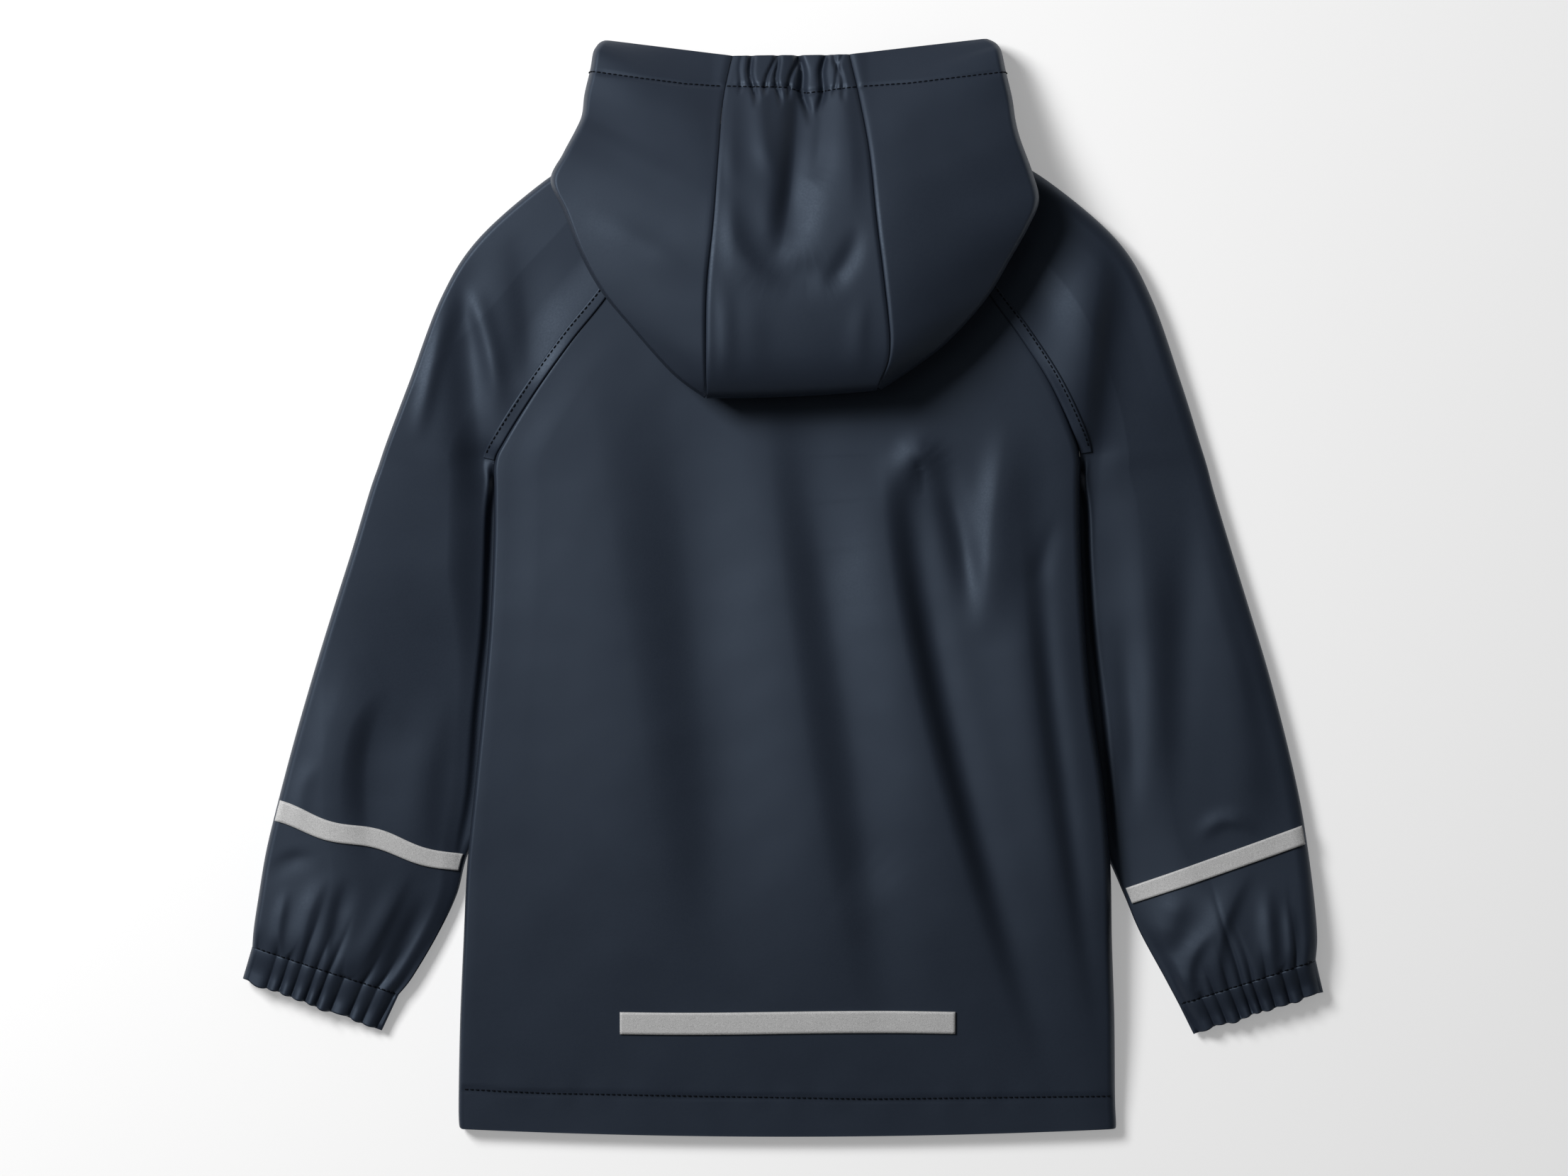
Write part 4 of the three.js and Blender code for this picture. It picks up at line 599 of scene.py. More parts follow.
# %% Gathers above the cuff
CUFF_PLEATS, PLEAT_DEPTH = 10, 1.0
SLEEVE_SHIFT = {"left": (0.6, 0.4), "right": (2.1, 1.9)}  # so that the two sleeves differ by chance


def pleat_wave(side, w):
    uneven = w + 0.018 * np.sin(9.2 * w + SLEEVE_SHIFT[side][0]) + 0.009 * np.sin(23 * w + 1.3)
    return 2 * np.abs(np.cos(np.pi * CUFF_PLEATS * uneven)) ** 0.8 - 1


def cuff_gathers(side):
    def relief(w, position, from_outer):
        reach = 1.6 + 0.9 * np.sin(13 * w + SLEEVE_SHIFT[side][1]) + 0.5 * np.sin(31 * w)
        near = smooth(1 - (SLEEVE_END - position) / reach) * smooth(from_outer / 6)
        return PLEAT_DEPTH * (pleat_wave(side, w) - 1) * near
    return relief


print("pleats on the upper side of a cuff:", CUFF_PLEATS)

# %% Make the sleeves
TAPE_ROW = 13  # from here to the cuff the points are closer
sleeve_u = np.concatenate([np.linspace(0, 0.5, 121)[:-1], 0.5 + 0.5 * np.linspace(0, 1, 61) ** 1.25])
sleeve_v = np.concatenate([np.linspace(0, TAPE_ROW, 241)[:-1], np.linspace(TAPE_ROW, SLEEVE_END, 100)])
sleeve_v = sleeve_v / SLEEVE_END


def sleeve_turned(normal):
    for column in (0, -1):
        low = sleeve_v * SLEEVE_END > ARMPIT_ROW - 0.2
        normal[low, column, 2] = 0
        normal[~low, column] = (0, 0, 1 if column == 0 else -1)
    return normal


sleeves, sleeve_points = {}, {}
for side in ("left", "right"):
    sleeve_points[side] = sleeve_surface(side, *grid(sleeve_u, sleeve_v), relief=cuff_gathers(side))
    sleeves[side] = shell(f"cloth_sleeve_{side}", sleeve_points[side], -SIGN[side],
                          turned=sleeve_turned, step=2)
    print("sleeve", side, len(sleeves[side].data.polygons), "faces")

# %% [markdown]
# ## The cuffs
#
# An elastic inside the hem of each sleeve draws it in, so the cloth stands in small pleats that are
# sharp at the stitching and open out towards the edge. A cuff carries the ring of the sleeve on to
# its end, and a wave makes the pleats. The wave is bent a little, because gathers are never even.
# A wave in a bump map would leave the outline of the cuff straight, and here it is frilled.

# %% Make the cuffs
# x and y of the inner end of the edge of each cuff, then x and y of the outer end
CUFFS = {"left": (-214.8, -237, -289.2, -209.6), "right": (220, -239, 289.2, -216.5)}
CUFF_WAVE, CUFF_FLARE, CUFF_LOW = 1.1, 0.45, 0.82  # height of the pleats, how they open, share at the end
FRILL, FRILL_PLEATS = 1.5, 0.9  # how far the edge runs in and out by chance, and with each pleat
cuff_u = np.concatenate([np.linspace(0, 0.5, 181)[:-1], np.linspace(0.5, 1, 41)])
cuff_v = np.linspace(0, 1, 25)
cuffs, cuff_points = {}, {}


def cuff_surface(side, u, v):
    ring = sleeve_surface(side, u, np.ones_like(v))
    inner_x, inner_y, outer_x, outer_y = CUFFS[side]
    w = np.where(u <= 0.5, 2 * u, 2 - 2 * u)
    end = np.stack([mix(inner_x, outer_x, w), mix(inner_y, outer_y, w)], axis=2)
    length = np.linalg.norm(end - ring[..., :2], axis=2)
    t = (GAP + v * (length - GAP)) / length
    shown = (u < 0.5) * np.sin(np.pi * np.clip(w, 0, 1)) ** 0.5
    wave = (pleat_wave(side, w) * shown - 1) * (u < 0.5)
    flare = 1 + CUFF_FLARE * smooth((v - 0.35) / 0.65)
    z = ring[..., 2] * mix(1, CUFF_LOW, smooth(v * 1.4)) + CUFF_WAVE * wave * flare * mix(0.7, 1, v)
    chance = FRILL * np.sin(21 * w + SIGN[side]) * np.sin(5 * w)
    frill = (chance + FRILL_PLEATS * pleat_wave(side, w)) * smooth((v - 0.4) / 0.6)
    direction = (end - ring[..., :2]) / length[..., None]
    xy = mix(ring[..., :2], end, t[..., None]) + direction * (frill * 0.5 - 0.5 * smooth(v))[..., None]
    return np.concatenate([xy, np.maximum(0, z)[..., None]], axis=2)


for side in ("left", "right"):
    cuff_points[side] = cuff_surface(side, *grid(cuff_u, cuff_v))
    cuffs[side] = shell(f"cloth_cuff_{side}", cuff_points[side], -SIGN[side])
print("cuffs end at y", [round(float(p[..., 1].min()), 1) for p in cuff_points.values()])

# %% [markdown]
# ## The hood
#
# A middle strip runs from the nape over the head to the face edge, with a side panel on each side.
# The hood has fallen back, so the strip makes a hairpin: up from the nape, round the bottom fold
# and back towards the top, where the face edge is gathered by an elastic. It is the fullest part
# of the coat, with air in it, and its deep grooves run from the gathers down the middle. One closed
# bag would be quicker, but then its two seams would only be lines. Here each piece is its own.

# %% Seams and outline of the hood
HOOD_SEAM = table("left_x left_y right_x right_y z", [
    (-39, 222.5, 51, 222.5, 19.4), (-39.5, 205, 52, 205, 24.5), (-40, 165, 53, 165, 26.5),
    (-40, 122, 52, 125, 27), (-40, 106, 50, 110, 31), (-40.4, 100.6, 49.4, 104.6, 41),
    (-40.2, 104.5, 51, 108.5, 53), (-40.6, 122, 56.6, 126, 61), (-40, 158, 54, 158, 63),
    (-36.5, 194, 49.6, 194, 59), (-34, 230, 46, 230, 47), (-31.6, 260, 40.6, 261, 31),
    (-26.8, 283.8, 35.4, 284.6, 19),
])
SIDE_COLUMNS = "out_x out_y out_z rim low_x low_y low_z"
STRIP = (0, 0, 0)  # rows beside the strip take their hidden edge from its seam
HOOD_SIDES = {
    "left": table(SIDE_COLUMNS, [
        (-41.5, 100.6, 42, 50, *STRIP), (-58.5, 113.4, 40, 54, *STRIP), (-80, 137.4, 39, 57, *STRIP),
        (-96.5, 157.4, 38, 58, *STRIP), (-108, 178, 37, 58, *STRIP), (-116.6, 200, 36, 56, -41, 223.4, 19.6),
        (-123.4, 216.6, 33, 53, -60, 231, 19.8), (-117, 231, 28, 49, -73, 240.5, 19.6),
        (-110.5, 244, 22, 43, -83, 247.2, 16), (-107.3, 252.5, 16, 38, -84.6, 248.4, 8),
        (-106, 264, 12, 33, -83, 247, 1.6), (-103, 277, 11, 29, -77.5, 241.6, 0),
        (-101.5, 286, 10.5, 26, -58, 217, 0), (-99.5, 289.8, 10, 23, -27, 195, 0),
        (-97.8, 291.6, 9.8, 20, 4.8, 186.6, 0), (-95.8, 292.5, 9.6, 17, 4.8, CHIN_Y, 0),
    ]),
    "right": table(SIDE_COLUMNS, [
        (52, 105, 42, 44, *STRIP), (70, 117, 40, 45, *STRIP), (88, 131, 39, 45, *STRIP),
        (108, 153.4, 38, 45, *STRIP), (121, 175, 37, 44.5, *STRIP), (130.6, 192, 36, 44, 53, 223.4, 19.6),
        (136, 206, 33, 42, 71, 231, 19.8), (132.8, 221, 28, 39, 84, 240.5, 19.6),
        (126.6, 239, 22, 36, 94, 247.2, 16), (124.2, 249.6, 16, 33, 94.6, 248.4, 8),
        (122.5, 262, 12, 29, 93, 247, 1.6), (119, 277, 11, 26, 87.5, 241.6, 0),
        (117, 286.5, 10.5, 23, 68, 217, 0), (115, 290.2, 10, 20, 37, 195, 0),
        (112.5, 292.2, 9.8, 18, 5.2, 186.6, 0), (109.7, 293.4, 9.6, 16, 5.2, CHIN_Y, 0),
    ]),
}
SEAM_FOLD, SEAM_END = 5, len(HOOD_SEAM["z"]) - 1  # the row of the bottom fold and the last row
SIDE_END, LOWER_SEAM_ROWS = len(HOOD_SIDES["left"]["rim"]) - 1, 5
print("the hood stands", float(HOOD_SEAM["z"].max()), "mm high")

# %% Folds and gathers of the hood
HOOD_FOLDS = table(FOLD_COLUMNS, [
    (-3, 168, 6, 224, 12, 320, -6.0, 6.5, 12),
    (15, 214, 21, 244, 22, 320, -1.8, 5, 7),
    (-4, 214, -11, 244, -12, 286, 1.5, 6, 5),
    (30, 190, 36, 240, 30, 300, 1.2, 12, 9),
    (-26, 206, -31, 238, -29, 270, 1.3, 4, 6),
    (4, 160, -24, 178, -27, 222, 1.3, 9, 6),
    (-20, 220, 0, 168, 42, 180, -1.7, 9, 10),
    (20, 160, 32, 170, 42, 196, -1.4, 5, 6),
    (-33, 96, -31, 130, -36, 172, 1.0, 4, 6),
    (-22, 96, -16, 128, -22, 160, 0.6, 9, 8),
    (44, 100, 40, 128, 45, 160, 0.7, 6, 5),
    (-106, 196, -74, 180, -40, 158, 0.9, 8, 10),
])
FACE_GATHERS = table("x depth length spread lean", [
    (-23.4, 0.9, 6, 1.2, 0.1), (-15.8, 2.8, 13, 1.6, -0.1), (-8.9, 1.7, 6, 1.2, 0.25),
    (-2.5, 2.4, 13, 1.3, -0.05), (3.6, 1.9, 8, 1.2, 0.2), (11.2, 3.8, 20, 2.2, -0.15),
    (20.7, 3.5, 17, 2, 0.1), (26.6, 1.1, 5, 1.1, 0.3), (31.8, 1.5, 9, 1.4, -0.2),
])
CASING = table("x y", [  # the line of stitches that holds the elastic
    (-104, 275), (-76, 271), (-51.5, 268), (-33.6, 267), (2, 266.4), (13, 263.5), (39.7, 266.6),
    (68.6, 268.5), (121, 275),
])
print("folds of the hood:", len(HOOD_FOLDS["height"]), "gathers:", len(FACE_GATHERS["x"]))

# %% The relief of the hood
CASING_GROOVE, CASING_SWELL, GROOVE_WIDTH = 0.7, 0.7, 1.1
GATHERED_X, GATHERED_FADE, GATHERED_MIDDLE = 30.0, 9, 4


def casing_y(x):
    return np.interp(x, CASING["x"], CASING["y"])


def hood_relief(x, y):
    total = fold_height(HOOD_FOLDS, x, y)
    from_stitches = y - casing_y(x)
    total = total - CASING_GROOVE * np.exp(-(from_stitches / GROOVE_WIDTH) ** 2)
    gathered = smooth((GATHERED_X + GATHERED_FADE - np.abs(x - GATHERED_MIDDLE)) / GATHERED_FADE + 0.4)
    total = total + CASING_SWELL * smooth(from_stitches / 3) * gathered
    for place, depth, length, spread, lean in zip(*FACE_GATHERS.values()):
        below = smooth(1 + from_stitches / length) * (from_stitches < 0)
        above = (from_stitches >= 0) * 1.0
        bend = place + lean * from_stitches + 0.9 * np.sin(from_stitches / 4 + place)
        total = total - depth * np.exp(-((x - bend) / spread) ** 2) * (below + above)
    return total


def seam_groove(side, distance, y):
    depth = mix(0.4, 1.1, smooth((190 - y) / 30)) if side == "left" else 0.9
    return depth * np.exp(-((distance / GROOVE_WIDTH) ** 2))


def hood_seam(side, position):
    columns = (HOOD_SEAM[side + "_x"], HOOD_SEAM[side + "_y"], HOOD_SEAM["z"])
    return [along(column, position) for column in columns]


print("the seam grooves are", GROOVE_WIDTH, "mm wide to either side")

# %% The middle strip
FOLD_BOW = 1.2  # the bottom fold runs lower in its middle


def strip_surface(u, v):
    position = v * SEAM_END
    left, right = hood_seam("left", position), hood_seam("right", position)
    width = right[0] - left[0]
    t = mix(HALF_GAP / width, 1 - HALF_GAP / width, u)
    bulge = 4 * t * (1 - t)
    x = mix(left[0], right[0], t)
    y = mix(left[1], right[1], t) - FOLD_BOW * bulge * smooth(1 - np.abs(position - SEAM_FOLD) / 1.5)
    upper = smooth((position - SEAM_FOLD - 0.8) / 1.6)
    grooves = seam_groove("left", t * width, y) + seam_groove("right", (1 - t) * width, y)
    z = mix(left[2], right[2], t) + upper * (smooth(bulge * 2) * hood_relief(x, y) - grooves)
    return np.stack([x, y, z], axis=2)


def along_seam(columns, first_row=False):
    def turned(normal):
        for column in columns:
            normal[:, column, 0] = 0
        if first_row:
            normal[0, :, 0] = 0
        return normal
    return turned


strip_u = np.linspace(0, 1, 121)
strip_rows = [np.linspace(0, SEAM_FOLD - 1, 41)[:-1], np.linspace(SEAM_FOLD - 1, SEAM_FOLD + 1, 41)[:-1],
              np.linspace(SEAM_FOLD + 1, SEAM_END, 161)]
strip_v = np.concatenate(strip_rows) / SEAM_END
strip_points = strip_surface(*grid(strip_u, strip_v))
hood_strip = shell("cloth_hood_strip", strip_points, 1, turned=along_seam((0, -1)))
print("hood strip:", len(hood_strip.data.polygons), "faces")

# %% The rows of a side panel
HOOD_ROLL, TABLE_ROW = 4.0, 10  # beyond this row the lower side of a panel lies on the table


def hood_side_rows(side, position):
    count = np.arange(SIDE_END + 1)
    rows = {name: values.copy() for name, values in HOOD_SIDES[side].items()}
    upper = hood_seam(side, mix(SEAM_FOLD + 0.7, SEAM_END, (count / SIDE_END) ** 0.92))
    lower = hood_seam(side, mix(SEAM_FOLD - 0.9, 0.6, count[:LOWER_SEAM_ROWS] / (LOWER_SEAM_ROWS - 1)))
    rows["up_x"], rows["up_y"], rows["up_z"] = upper[0] + SIGN[side] * GAP, upper[1], upper[2]
    for name, values in zip(("low_x", "low_y", "low_z"), lower):
        rows[name][:LOWER_SEAM_ROWS] = values
    return {name: along(values, position) for name, values in rows.items()}


print("rows of a side panel:", SIDE_END + 1, "of them along the lower seam:", LOWER_SEAM_ROWS)


# %% The surface of a side panel
def hood_side_surface(side, u, v):
    sign, position = SIGN[side], v * SIDE_END
    r = hood_side_rows(side, position)
    top = u <= 0.5
    w = np.where(top, 2 * u, 2 - 2 * u)
    seam_x = r["low_x"] + sign * GAP * smooth(LOWER_SEAM_ROWS - position)
    low_x = sign * np.maximum(sign * (seam_x - MIDDLE_X), HALF_GAP) + MIDDLE_X
    start_x, start_y = np.where(top, r["up_x"], low_x), np.where(top, r["up_y"], r["low_y"])
    width = np.hypot(r["out_x"] - start_x, r["out_y"] - start_y)
    x, y = mix(start_x, r["out_x"], w), mix(start_y, r["out_y"], w)
    rim = rolled((1 - w) * width, np.minimum(HOOD_ROLL, width * 0.6 + 1))
    relief = hood_relief(x, y) * smooth(w * 12 + 0.25) * smooth((1 - w) * 8)
    over = mix(r["up_z"], r["rim"], w ** 1.25) + relief - smooth(position) * seam_groove(side, w * width, y)
    table_z = np.where(position > TABLE_ROW, 0, r["low_z"])
    near = smooth(w * width / 20)
    under = np.maximum(0, mix(r["low_z"], mix(table_z, r["low_z"], 0.5), near))
    z = mix(r["out_z"], np.where(top, over, under), rim)
    return np.stack([x, y, z], axis=2)


print("the side panels roll over within", HOOD_ROLL, "mm")

# %% Make the side panels
hood_u = np.concatenate([np.linspace(0, 0.5, 101)[:-1], 0.5 + 0.5 * np.linspace(0, 1, 61) ** 1.3])
hood_v = np.linspace(0, 1, 181)


def hood_turned(normal):
    normal = along_seam((0,), first_row=True)(normal)
    position = hood_v * SIDE_END
    normal[position < LOWER_SEAM_ROWS - 0.5, -1, 0] = 0
    normal[position > TABLE_ROW + 0.5, -1] = (0, 0, -1)
    on_table = np.ix_(position > TABLE_ROW + 0.3, hood_u > 0.7)
    normal[(*on_table, 2)] = -np.abs(normal[(*on_table, 2)])
    return normal


hood_sides, hood_points = {}, {}
for side in ("left", "right"):
    hood_points[side] = hood_side_surface(side, *grid(hood_u, hood_v))
    hood_sides[side] = shell(f"cloth_hood_{side}", hood_points[side], SIGN[side], turned=hood_turned)
    print("hood", side, len(hood_sides[side].data.polygons), "faces")

# %% [markdown]
# ## Tapes and bands laid on the cloth
#
# A reflective tape crosses the lower back and another goes over each forearm, and a narrow band
# covers each raglan seam of the back. They are stitched flat on the cloth, so they are cut out of
# the same surfaces: laid_on() reads the grid of a panel at a patch of places and lifts it a little.
# A separate flat strip would cut through each fold that it meets.

# %% Finding a place on a panel
def read_grid(points, row, column):
    rows, columns = points.shape[:2]
    r, c = np.clip(row, 0, rows - 1.001), np.clip(column, 0, columns - 1.001)
    i, j = np.floor(r).astype(int), np.floor(c).astype(int)
    s, t = (r - i)[..., None], (c - j)[..., None]
    low = mix(points[i, j], points[i, j + 1], t)
    return mix(low, mix(points[i + 1, j], points[i + 1, j + 1], t), s)


def places_on(points, x, y, columns):
    flat = points[:, :columns, :2].reshape(-1, 2)
    targets = np.stack([x.ravel(), y.ravel()], axis=1)
    nearest = np.array([np.argmin(((flat - target) ** 2).sum(axis=1)) for target in targets])
    row, column = (nearest // columns).astype(float), (nearest % columns).astype(float)
    for _ in range(6):
        miss = targets - read_grid(points, row, column)[:, :2]
        down = (read_grid(points, row + 0.5, column) - read_grid(points, row - 0.5, column))[:, :2]
        across = (read_grid(points, row, column + 0.5) - read_grid(points, row, column - 0.5))[:, :2]
        area = down[:, 0] * across[:, 1] - down[:, 1] * across[:, 0]
        area = np.where(np.abs(area) < 1e-6, 1e-6, area)
        row += np.clip((miss[:, 0] * across[:, 1] - miss[:, 1] * across[:, 0]) / area, -3, 3)
        column += np.clip((down[:, 0] * miss[:, 1] - down[:, 1] * miss[:, 0]) / area, -3, 3)
    return row.reshape(x.shape), column.reshape(x.shape)


print("halfway between two rows of the back:", read_grid(back_points, 10.5, 20.0).round(1))


# %% Laying a strip on a panel
def laid_on(points, side, row, column, height):
    normal = outward(points, side)
    return read_grid(points, row, column) + height * read_grid(normal, row, column)


def place_of(values, wanted):
    return np.interp(wanted, values, np.arange(len(values)))


def strip_piece(name, panel, side, row, column, slot, low=0.35, thick=0.7):
    top = laid_on(panel, side, row, column, low + thick)
    facing = outward(top, side)
    middle = facing[facing.shape[0] // 2, facing.shape[1] // 2]
    below = outward(panel, side)[int(row.mean()), int(column.mean())]
    return shell(name, top, side if float(middle @ below) > 0 else -side, thickness=thick, step=2)


print("the middle of", [3.0, 5.0, 9.0], "is found at", place_of([3.0, 5.0, 9.0], 6.0))

# %% The tape across the back
TAPE_WIDTH, TAPE_Y, TAPE_WAVER = 11.8, -232.0, 0.5
tape_x, tape_t = grid(np.linspace(-87.0, 92.0, 121), np.linspace(-0.5, 0.5, 9))
tape_y = TAPE_Y + TAPE_WIDTH * tape_t + TAPE_WAVER * np.sin(tape_x / 31)
tape_row, tape_column = places_on(back_points, tape_x, tape_y, len(back_u))
tape_back = strip_piece("tape_back_strip", back_points, 1, tape_row, tape_column, "reflective_tape")
print("back tape from", tape_x.min(), "to", tape_x.max())

# %% The tapes of the sleeves and the bands of the raglan seams
# the rows of a tape at its inner and its outer end, how many rows it covers, and how much it wavers
SLEEVE_TAPES = {"left": (13.3, 13.2, 0.38, 0.05), "right": (14.07, 13.77, 0.41, 0.0)}
BAND_WIDTH, BAND_START = 6.6, 1.4
tapes, bands = {}, {}


def sleeve_row(place):
    return place_of(sleeve_v * SLEEVE_END, place)


def sleeve_width(side, place):
    r = sleeve_rows(side, place)
    return np.hypot(r["outer_x"] - r["inner_x"], r["outer_y"] - r["inner_y"])


for side in ("left", "right"):
    panel = (sleeve_points[side], -SIGN[side])
    inner, outer, length, waver = SLEEVE_TAPES[side]
    u, t = grid(np.linspace(0.012, 0.49, 121), np.linspace(-0.5, 0.5, 9))
    row = sleeve_row(mix(inner, outer, 2 * u) + length * t + waver * np.sin(25 * u - 1))
    tapes[side] = strip_piece(f"tape_{side}_strip", *panel, row, place_of(sleeve_u, u), "reflective_tape")
    place = np.linspace(BAND_START, ARMPIT_ROW - 0.1, 161)
    across, down = grid(np.linspace(0.3, BAND_WIDTH, 9), np.arange(161))
    column = place_of(sleeve_u, across / sleeve_width(side, place)[down] / 2)
    row = sleeve_row(place)[down]
    bands[side] = strip_piece(f"band_{side}_strip", *panel, row, column, "coated_cloth", low=0.1)
print("strips laid:", len(tapes) + len(bands) + 1)

# %% [markdown]
# ## Stitches
#
# Each stitch shows as a short raised bar of thread that dips into the cloth at both ends. All
# stitches of a line are one mesh, made from one small form that is set down again and again. A
# dashed texture would be flat, and the light would not pick it out.

# %% One stitch
STITCH_PITCH, STITCH_LENGTH, THREAD_RADIUS, THREAD_SIDES = 2.9, 2.2, 0.36, 6
STITCH_FORM = table("along up size", [
    (-0.5, -0.8, 0.5), (-0.38, 0.3, 0.9), (0, 0.8, 1), (0.38, 0.3, 0.9), (0.5, -0.8, 0.5),
])


def one_stitch():
    rings = len(STITCH_FORM["along"])
    turn = np.tile(np.linspace(0, 2 * np.pi, THREAD_SIDES, endpoint=False), rings)
    size = np.repeat(STITCH_FORM["size"], THREAD_SIDES) * THREAD_RADIUS
    ahead = np.repeat(STITCH_FORM["along"], THREAD_SIDES) * STITCH_LENGTH
    up = np.repeat(STITCH_FORM["up"], THREAD_SIDES) * THREAD_RADIUS + size * np.sin(turn)
    form = np.stack([ahead, size * np.cos(turn), up], axis=1)
    faces = []
    for ring in range(rings - 1):
        for k in range(THREAD_SIDES):
            a, b = ring * THREAD_SIDES + k, ring * THREAD_SIDES + (k + 1) % THREAD_SIDES
            faces.append([a, b, b + THREAD_SIDES, a + THREAD_SIDES])
    last = (rings - 1) * THREAD_SIDES
    faces += [list(range(THREAD_SIDES))[::-1], list(range(last, last + THREAD_SIDES))]
    return form, faces


print("faces of one stitch:", len(one_stitch()[1]))


# %% A line of stitches
def stitch_line(name, path, normal):
    run = np.concatenate([[0], np.cumsum(np.linalg.norm(np.diff(path, axis=0), axis=1))])
    count = int(run[-1] / STITCH_PITCH)
    places = (np.arange(count) + 0.5) * run[-1] / count

    def at(values, where):
        return np.stack([np.interp(where, run, values[:, k]) for k in range(3)], axis=1)

    forward = at(path, places + 1) - at(path, places - 1)
    forward /= np.linalg.norm(forward, axis=1, keepdims=True)
    across = np.cross(at(normal, places), forward)
    across /= np.linalg.norm(across, axis=1, keepdims=True)
    up = np.cross(forward, across)
    form, faces = one_stitch()
    axes = np.stack([forward, across, up], axis=1)
    points = (at(path, places)[:, None] + form @ axes).reshape(-1, 3)
    all_faces = [[k + n * len(form) for k in face] for n in range(count) for face in faces]
    return add_piece(name, points, all_faces)


def stitches_on(name, panel, side, row, column, height=0.0):
    normal = read_grid(outward(panel, side), row, column)
    return stitch_line(name, read_grid(panel, row, column) + height * normal, normal)


print("the hem takes", int((BODY["right"][0] - BODY["left"][0]) / STITCH_PITCH), "stitches")

# %% Stitch the hem, the cuffs and the bands
BAND_STITCH_X, BAND_TOP = BAND_WIDTH - 1.3, 0.8  # across the band, and how high its upper side is
hem_x = np.linspace(-170.5, 175.5, 241)
place = places_on(back_points, hem_x, hem_y(hem_x), len(back_u))
stitches = [stitches_on("stitches_hem", back_points, 1, *place)]
for side in ("left", "right"):
    panel = (sleeve_points[side], -SIGN[side])
    u = np.linspace(0.012, 0.485, 161)
    row = np.full(u.shape, float(sleeve_row(SLEEVE_END - 0.05)))
    stitches.append(stitches_on(f"stitches_cuff_{side}", *panel, row, place_of(sleeve_u, u)))
    place = np.linspace(1.6, ARMPIT_ROW - 0.3, 161)
    column = place_of(sleeve_u, BAND_STITCH_X / sleeve_width(side, place) / 2)
    line = stitches_on(f"stitches_band_{side}", *panel, sleeve_row(place), column, height=BAND_TOP)
    stitches.append(line)
print("stitch lines below the hood:", len(stitches))

# %% Stitch the casing of the hood
CASING_ENDS = {"left": (-103.3, -33.0), "strip": (-30.2, 39.2), "right": (42.5, 119.5)}
upper_side = int(np.sum(hood_u <= 0.5))
above_fold = strip_points[strip_v * SEAM_END > SEAM_FOLD + 1]
CASING_PANELS = {
    "left": (hood_points["left"], SIGN["left"], 121, upper_side),
    "right": (hood_points["right"], SIGN["right"], 121, upper_side),
    "strip": (above_fold, 1, 161, len(strip_u)),
}
for part, (points, side, count, columns) in CASING_PANELS.items():
    casing_x = np.linspace(*CASING_ENDS[part], count)
    place = places_on(points, casing_x, casing_y(casing_x), columns)
    stitches.append(stitches_on(f"stitches_hood_{part}", points, side, *place))
print("stitch lines:", len(stitches))

# %% [markdown]
# ## Materials
#
# The cloth has a thin plastic coating: nearly black-blue, satin, with a faint cool sheen that comes
# from the coating and not from the dye. The tape is silver grey with the fine grain of glass beads,
# and their sparkle is painted into its colour as lighter and darker specks.
# A picture could give both, but it would blur near by and need to be laid out on each piece. Each
# material is a few procedural nodes instead, so it works at any size.

# %% A short way to write shader nodes
def new_material(name, color, roughness, level=0.5, tint=(1, 1, 1)):
    material = bpy.data.materials.new(name)
    material.use_nodes = True
    tree = material.node_tree
    shader = tree.nodes["Principled BSDF"]
    shader.inputs["Base Color"].default_value = (*color, 1)
    shader.inputs["Roughness"].default_value = roughness
    shader.inputs["Specular IOR Level"].default_value = level
    shader.inputs["Specular Tint"].default_value = (*tint, 1)
    place = tree.nodes.new("ShaderNodeTexCoord").outputs["Object"]
    return material, tree, shader, place


def noise(tree, place, scale, detail=3.0, roughness=0.5):
    node = tree.nodes.new("ShaderNodeTexNoise")
    node.inputs["Scale"].default_value = scale
    node.inputs["Detail"].default_value = detail
    node.inputs["Roughness"].default_value = roughness
    tree.links.new(place, node.inputs["Vector"])
    return node.outputs["Fac"]


def spread_to(tree, value, low, high, from_low=0.3, from_high=0.7):
    node = tree.nodes.new("ShaderNodeMapRange")
    for name, number in (("From Min", from_low), ("From Max", from_high), ("To Min", low), ("To Max", high)):
        node.inputs[name].default_value = number
    tree.links.new(value, node.inputs["Value"])
    return node.outputs["Result"]


def blend(tree, amount, low_color, high_color):
    node = tree.nodes.new("ShaderNodeMix")
    node.data_type = "RGBA"
    node.inputs["A"].default_value = (*low_color, 1)
    node.inputs["B"].default_value = (*high_color, 1)
    tree.links.new(amount, node.inputs["Factor"])
    return node.outputs["Result"]


def bump(tree, height, distance, strength=1.0, before=None):
    node = tree.nodes.new("ShaderNodeBump")
    node.inputs["Distance"].default_value = distance
    node.inputs["Strength"].default_value = strength
    tree.links.new(height, node.inputs["Height"])
    if before is not None:
        tree.links.new(before, node.inputs["Normal"])
    return node.outputs["Normal"]


print("kinds of node so far:", [f.__name__ for f in (noise, spread_to, blend, bump)])


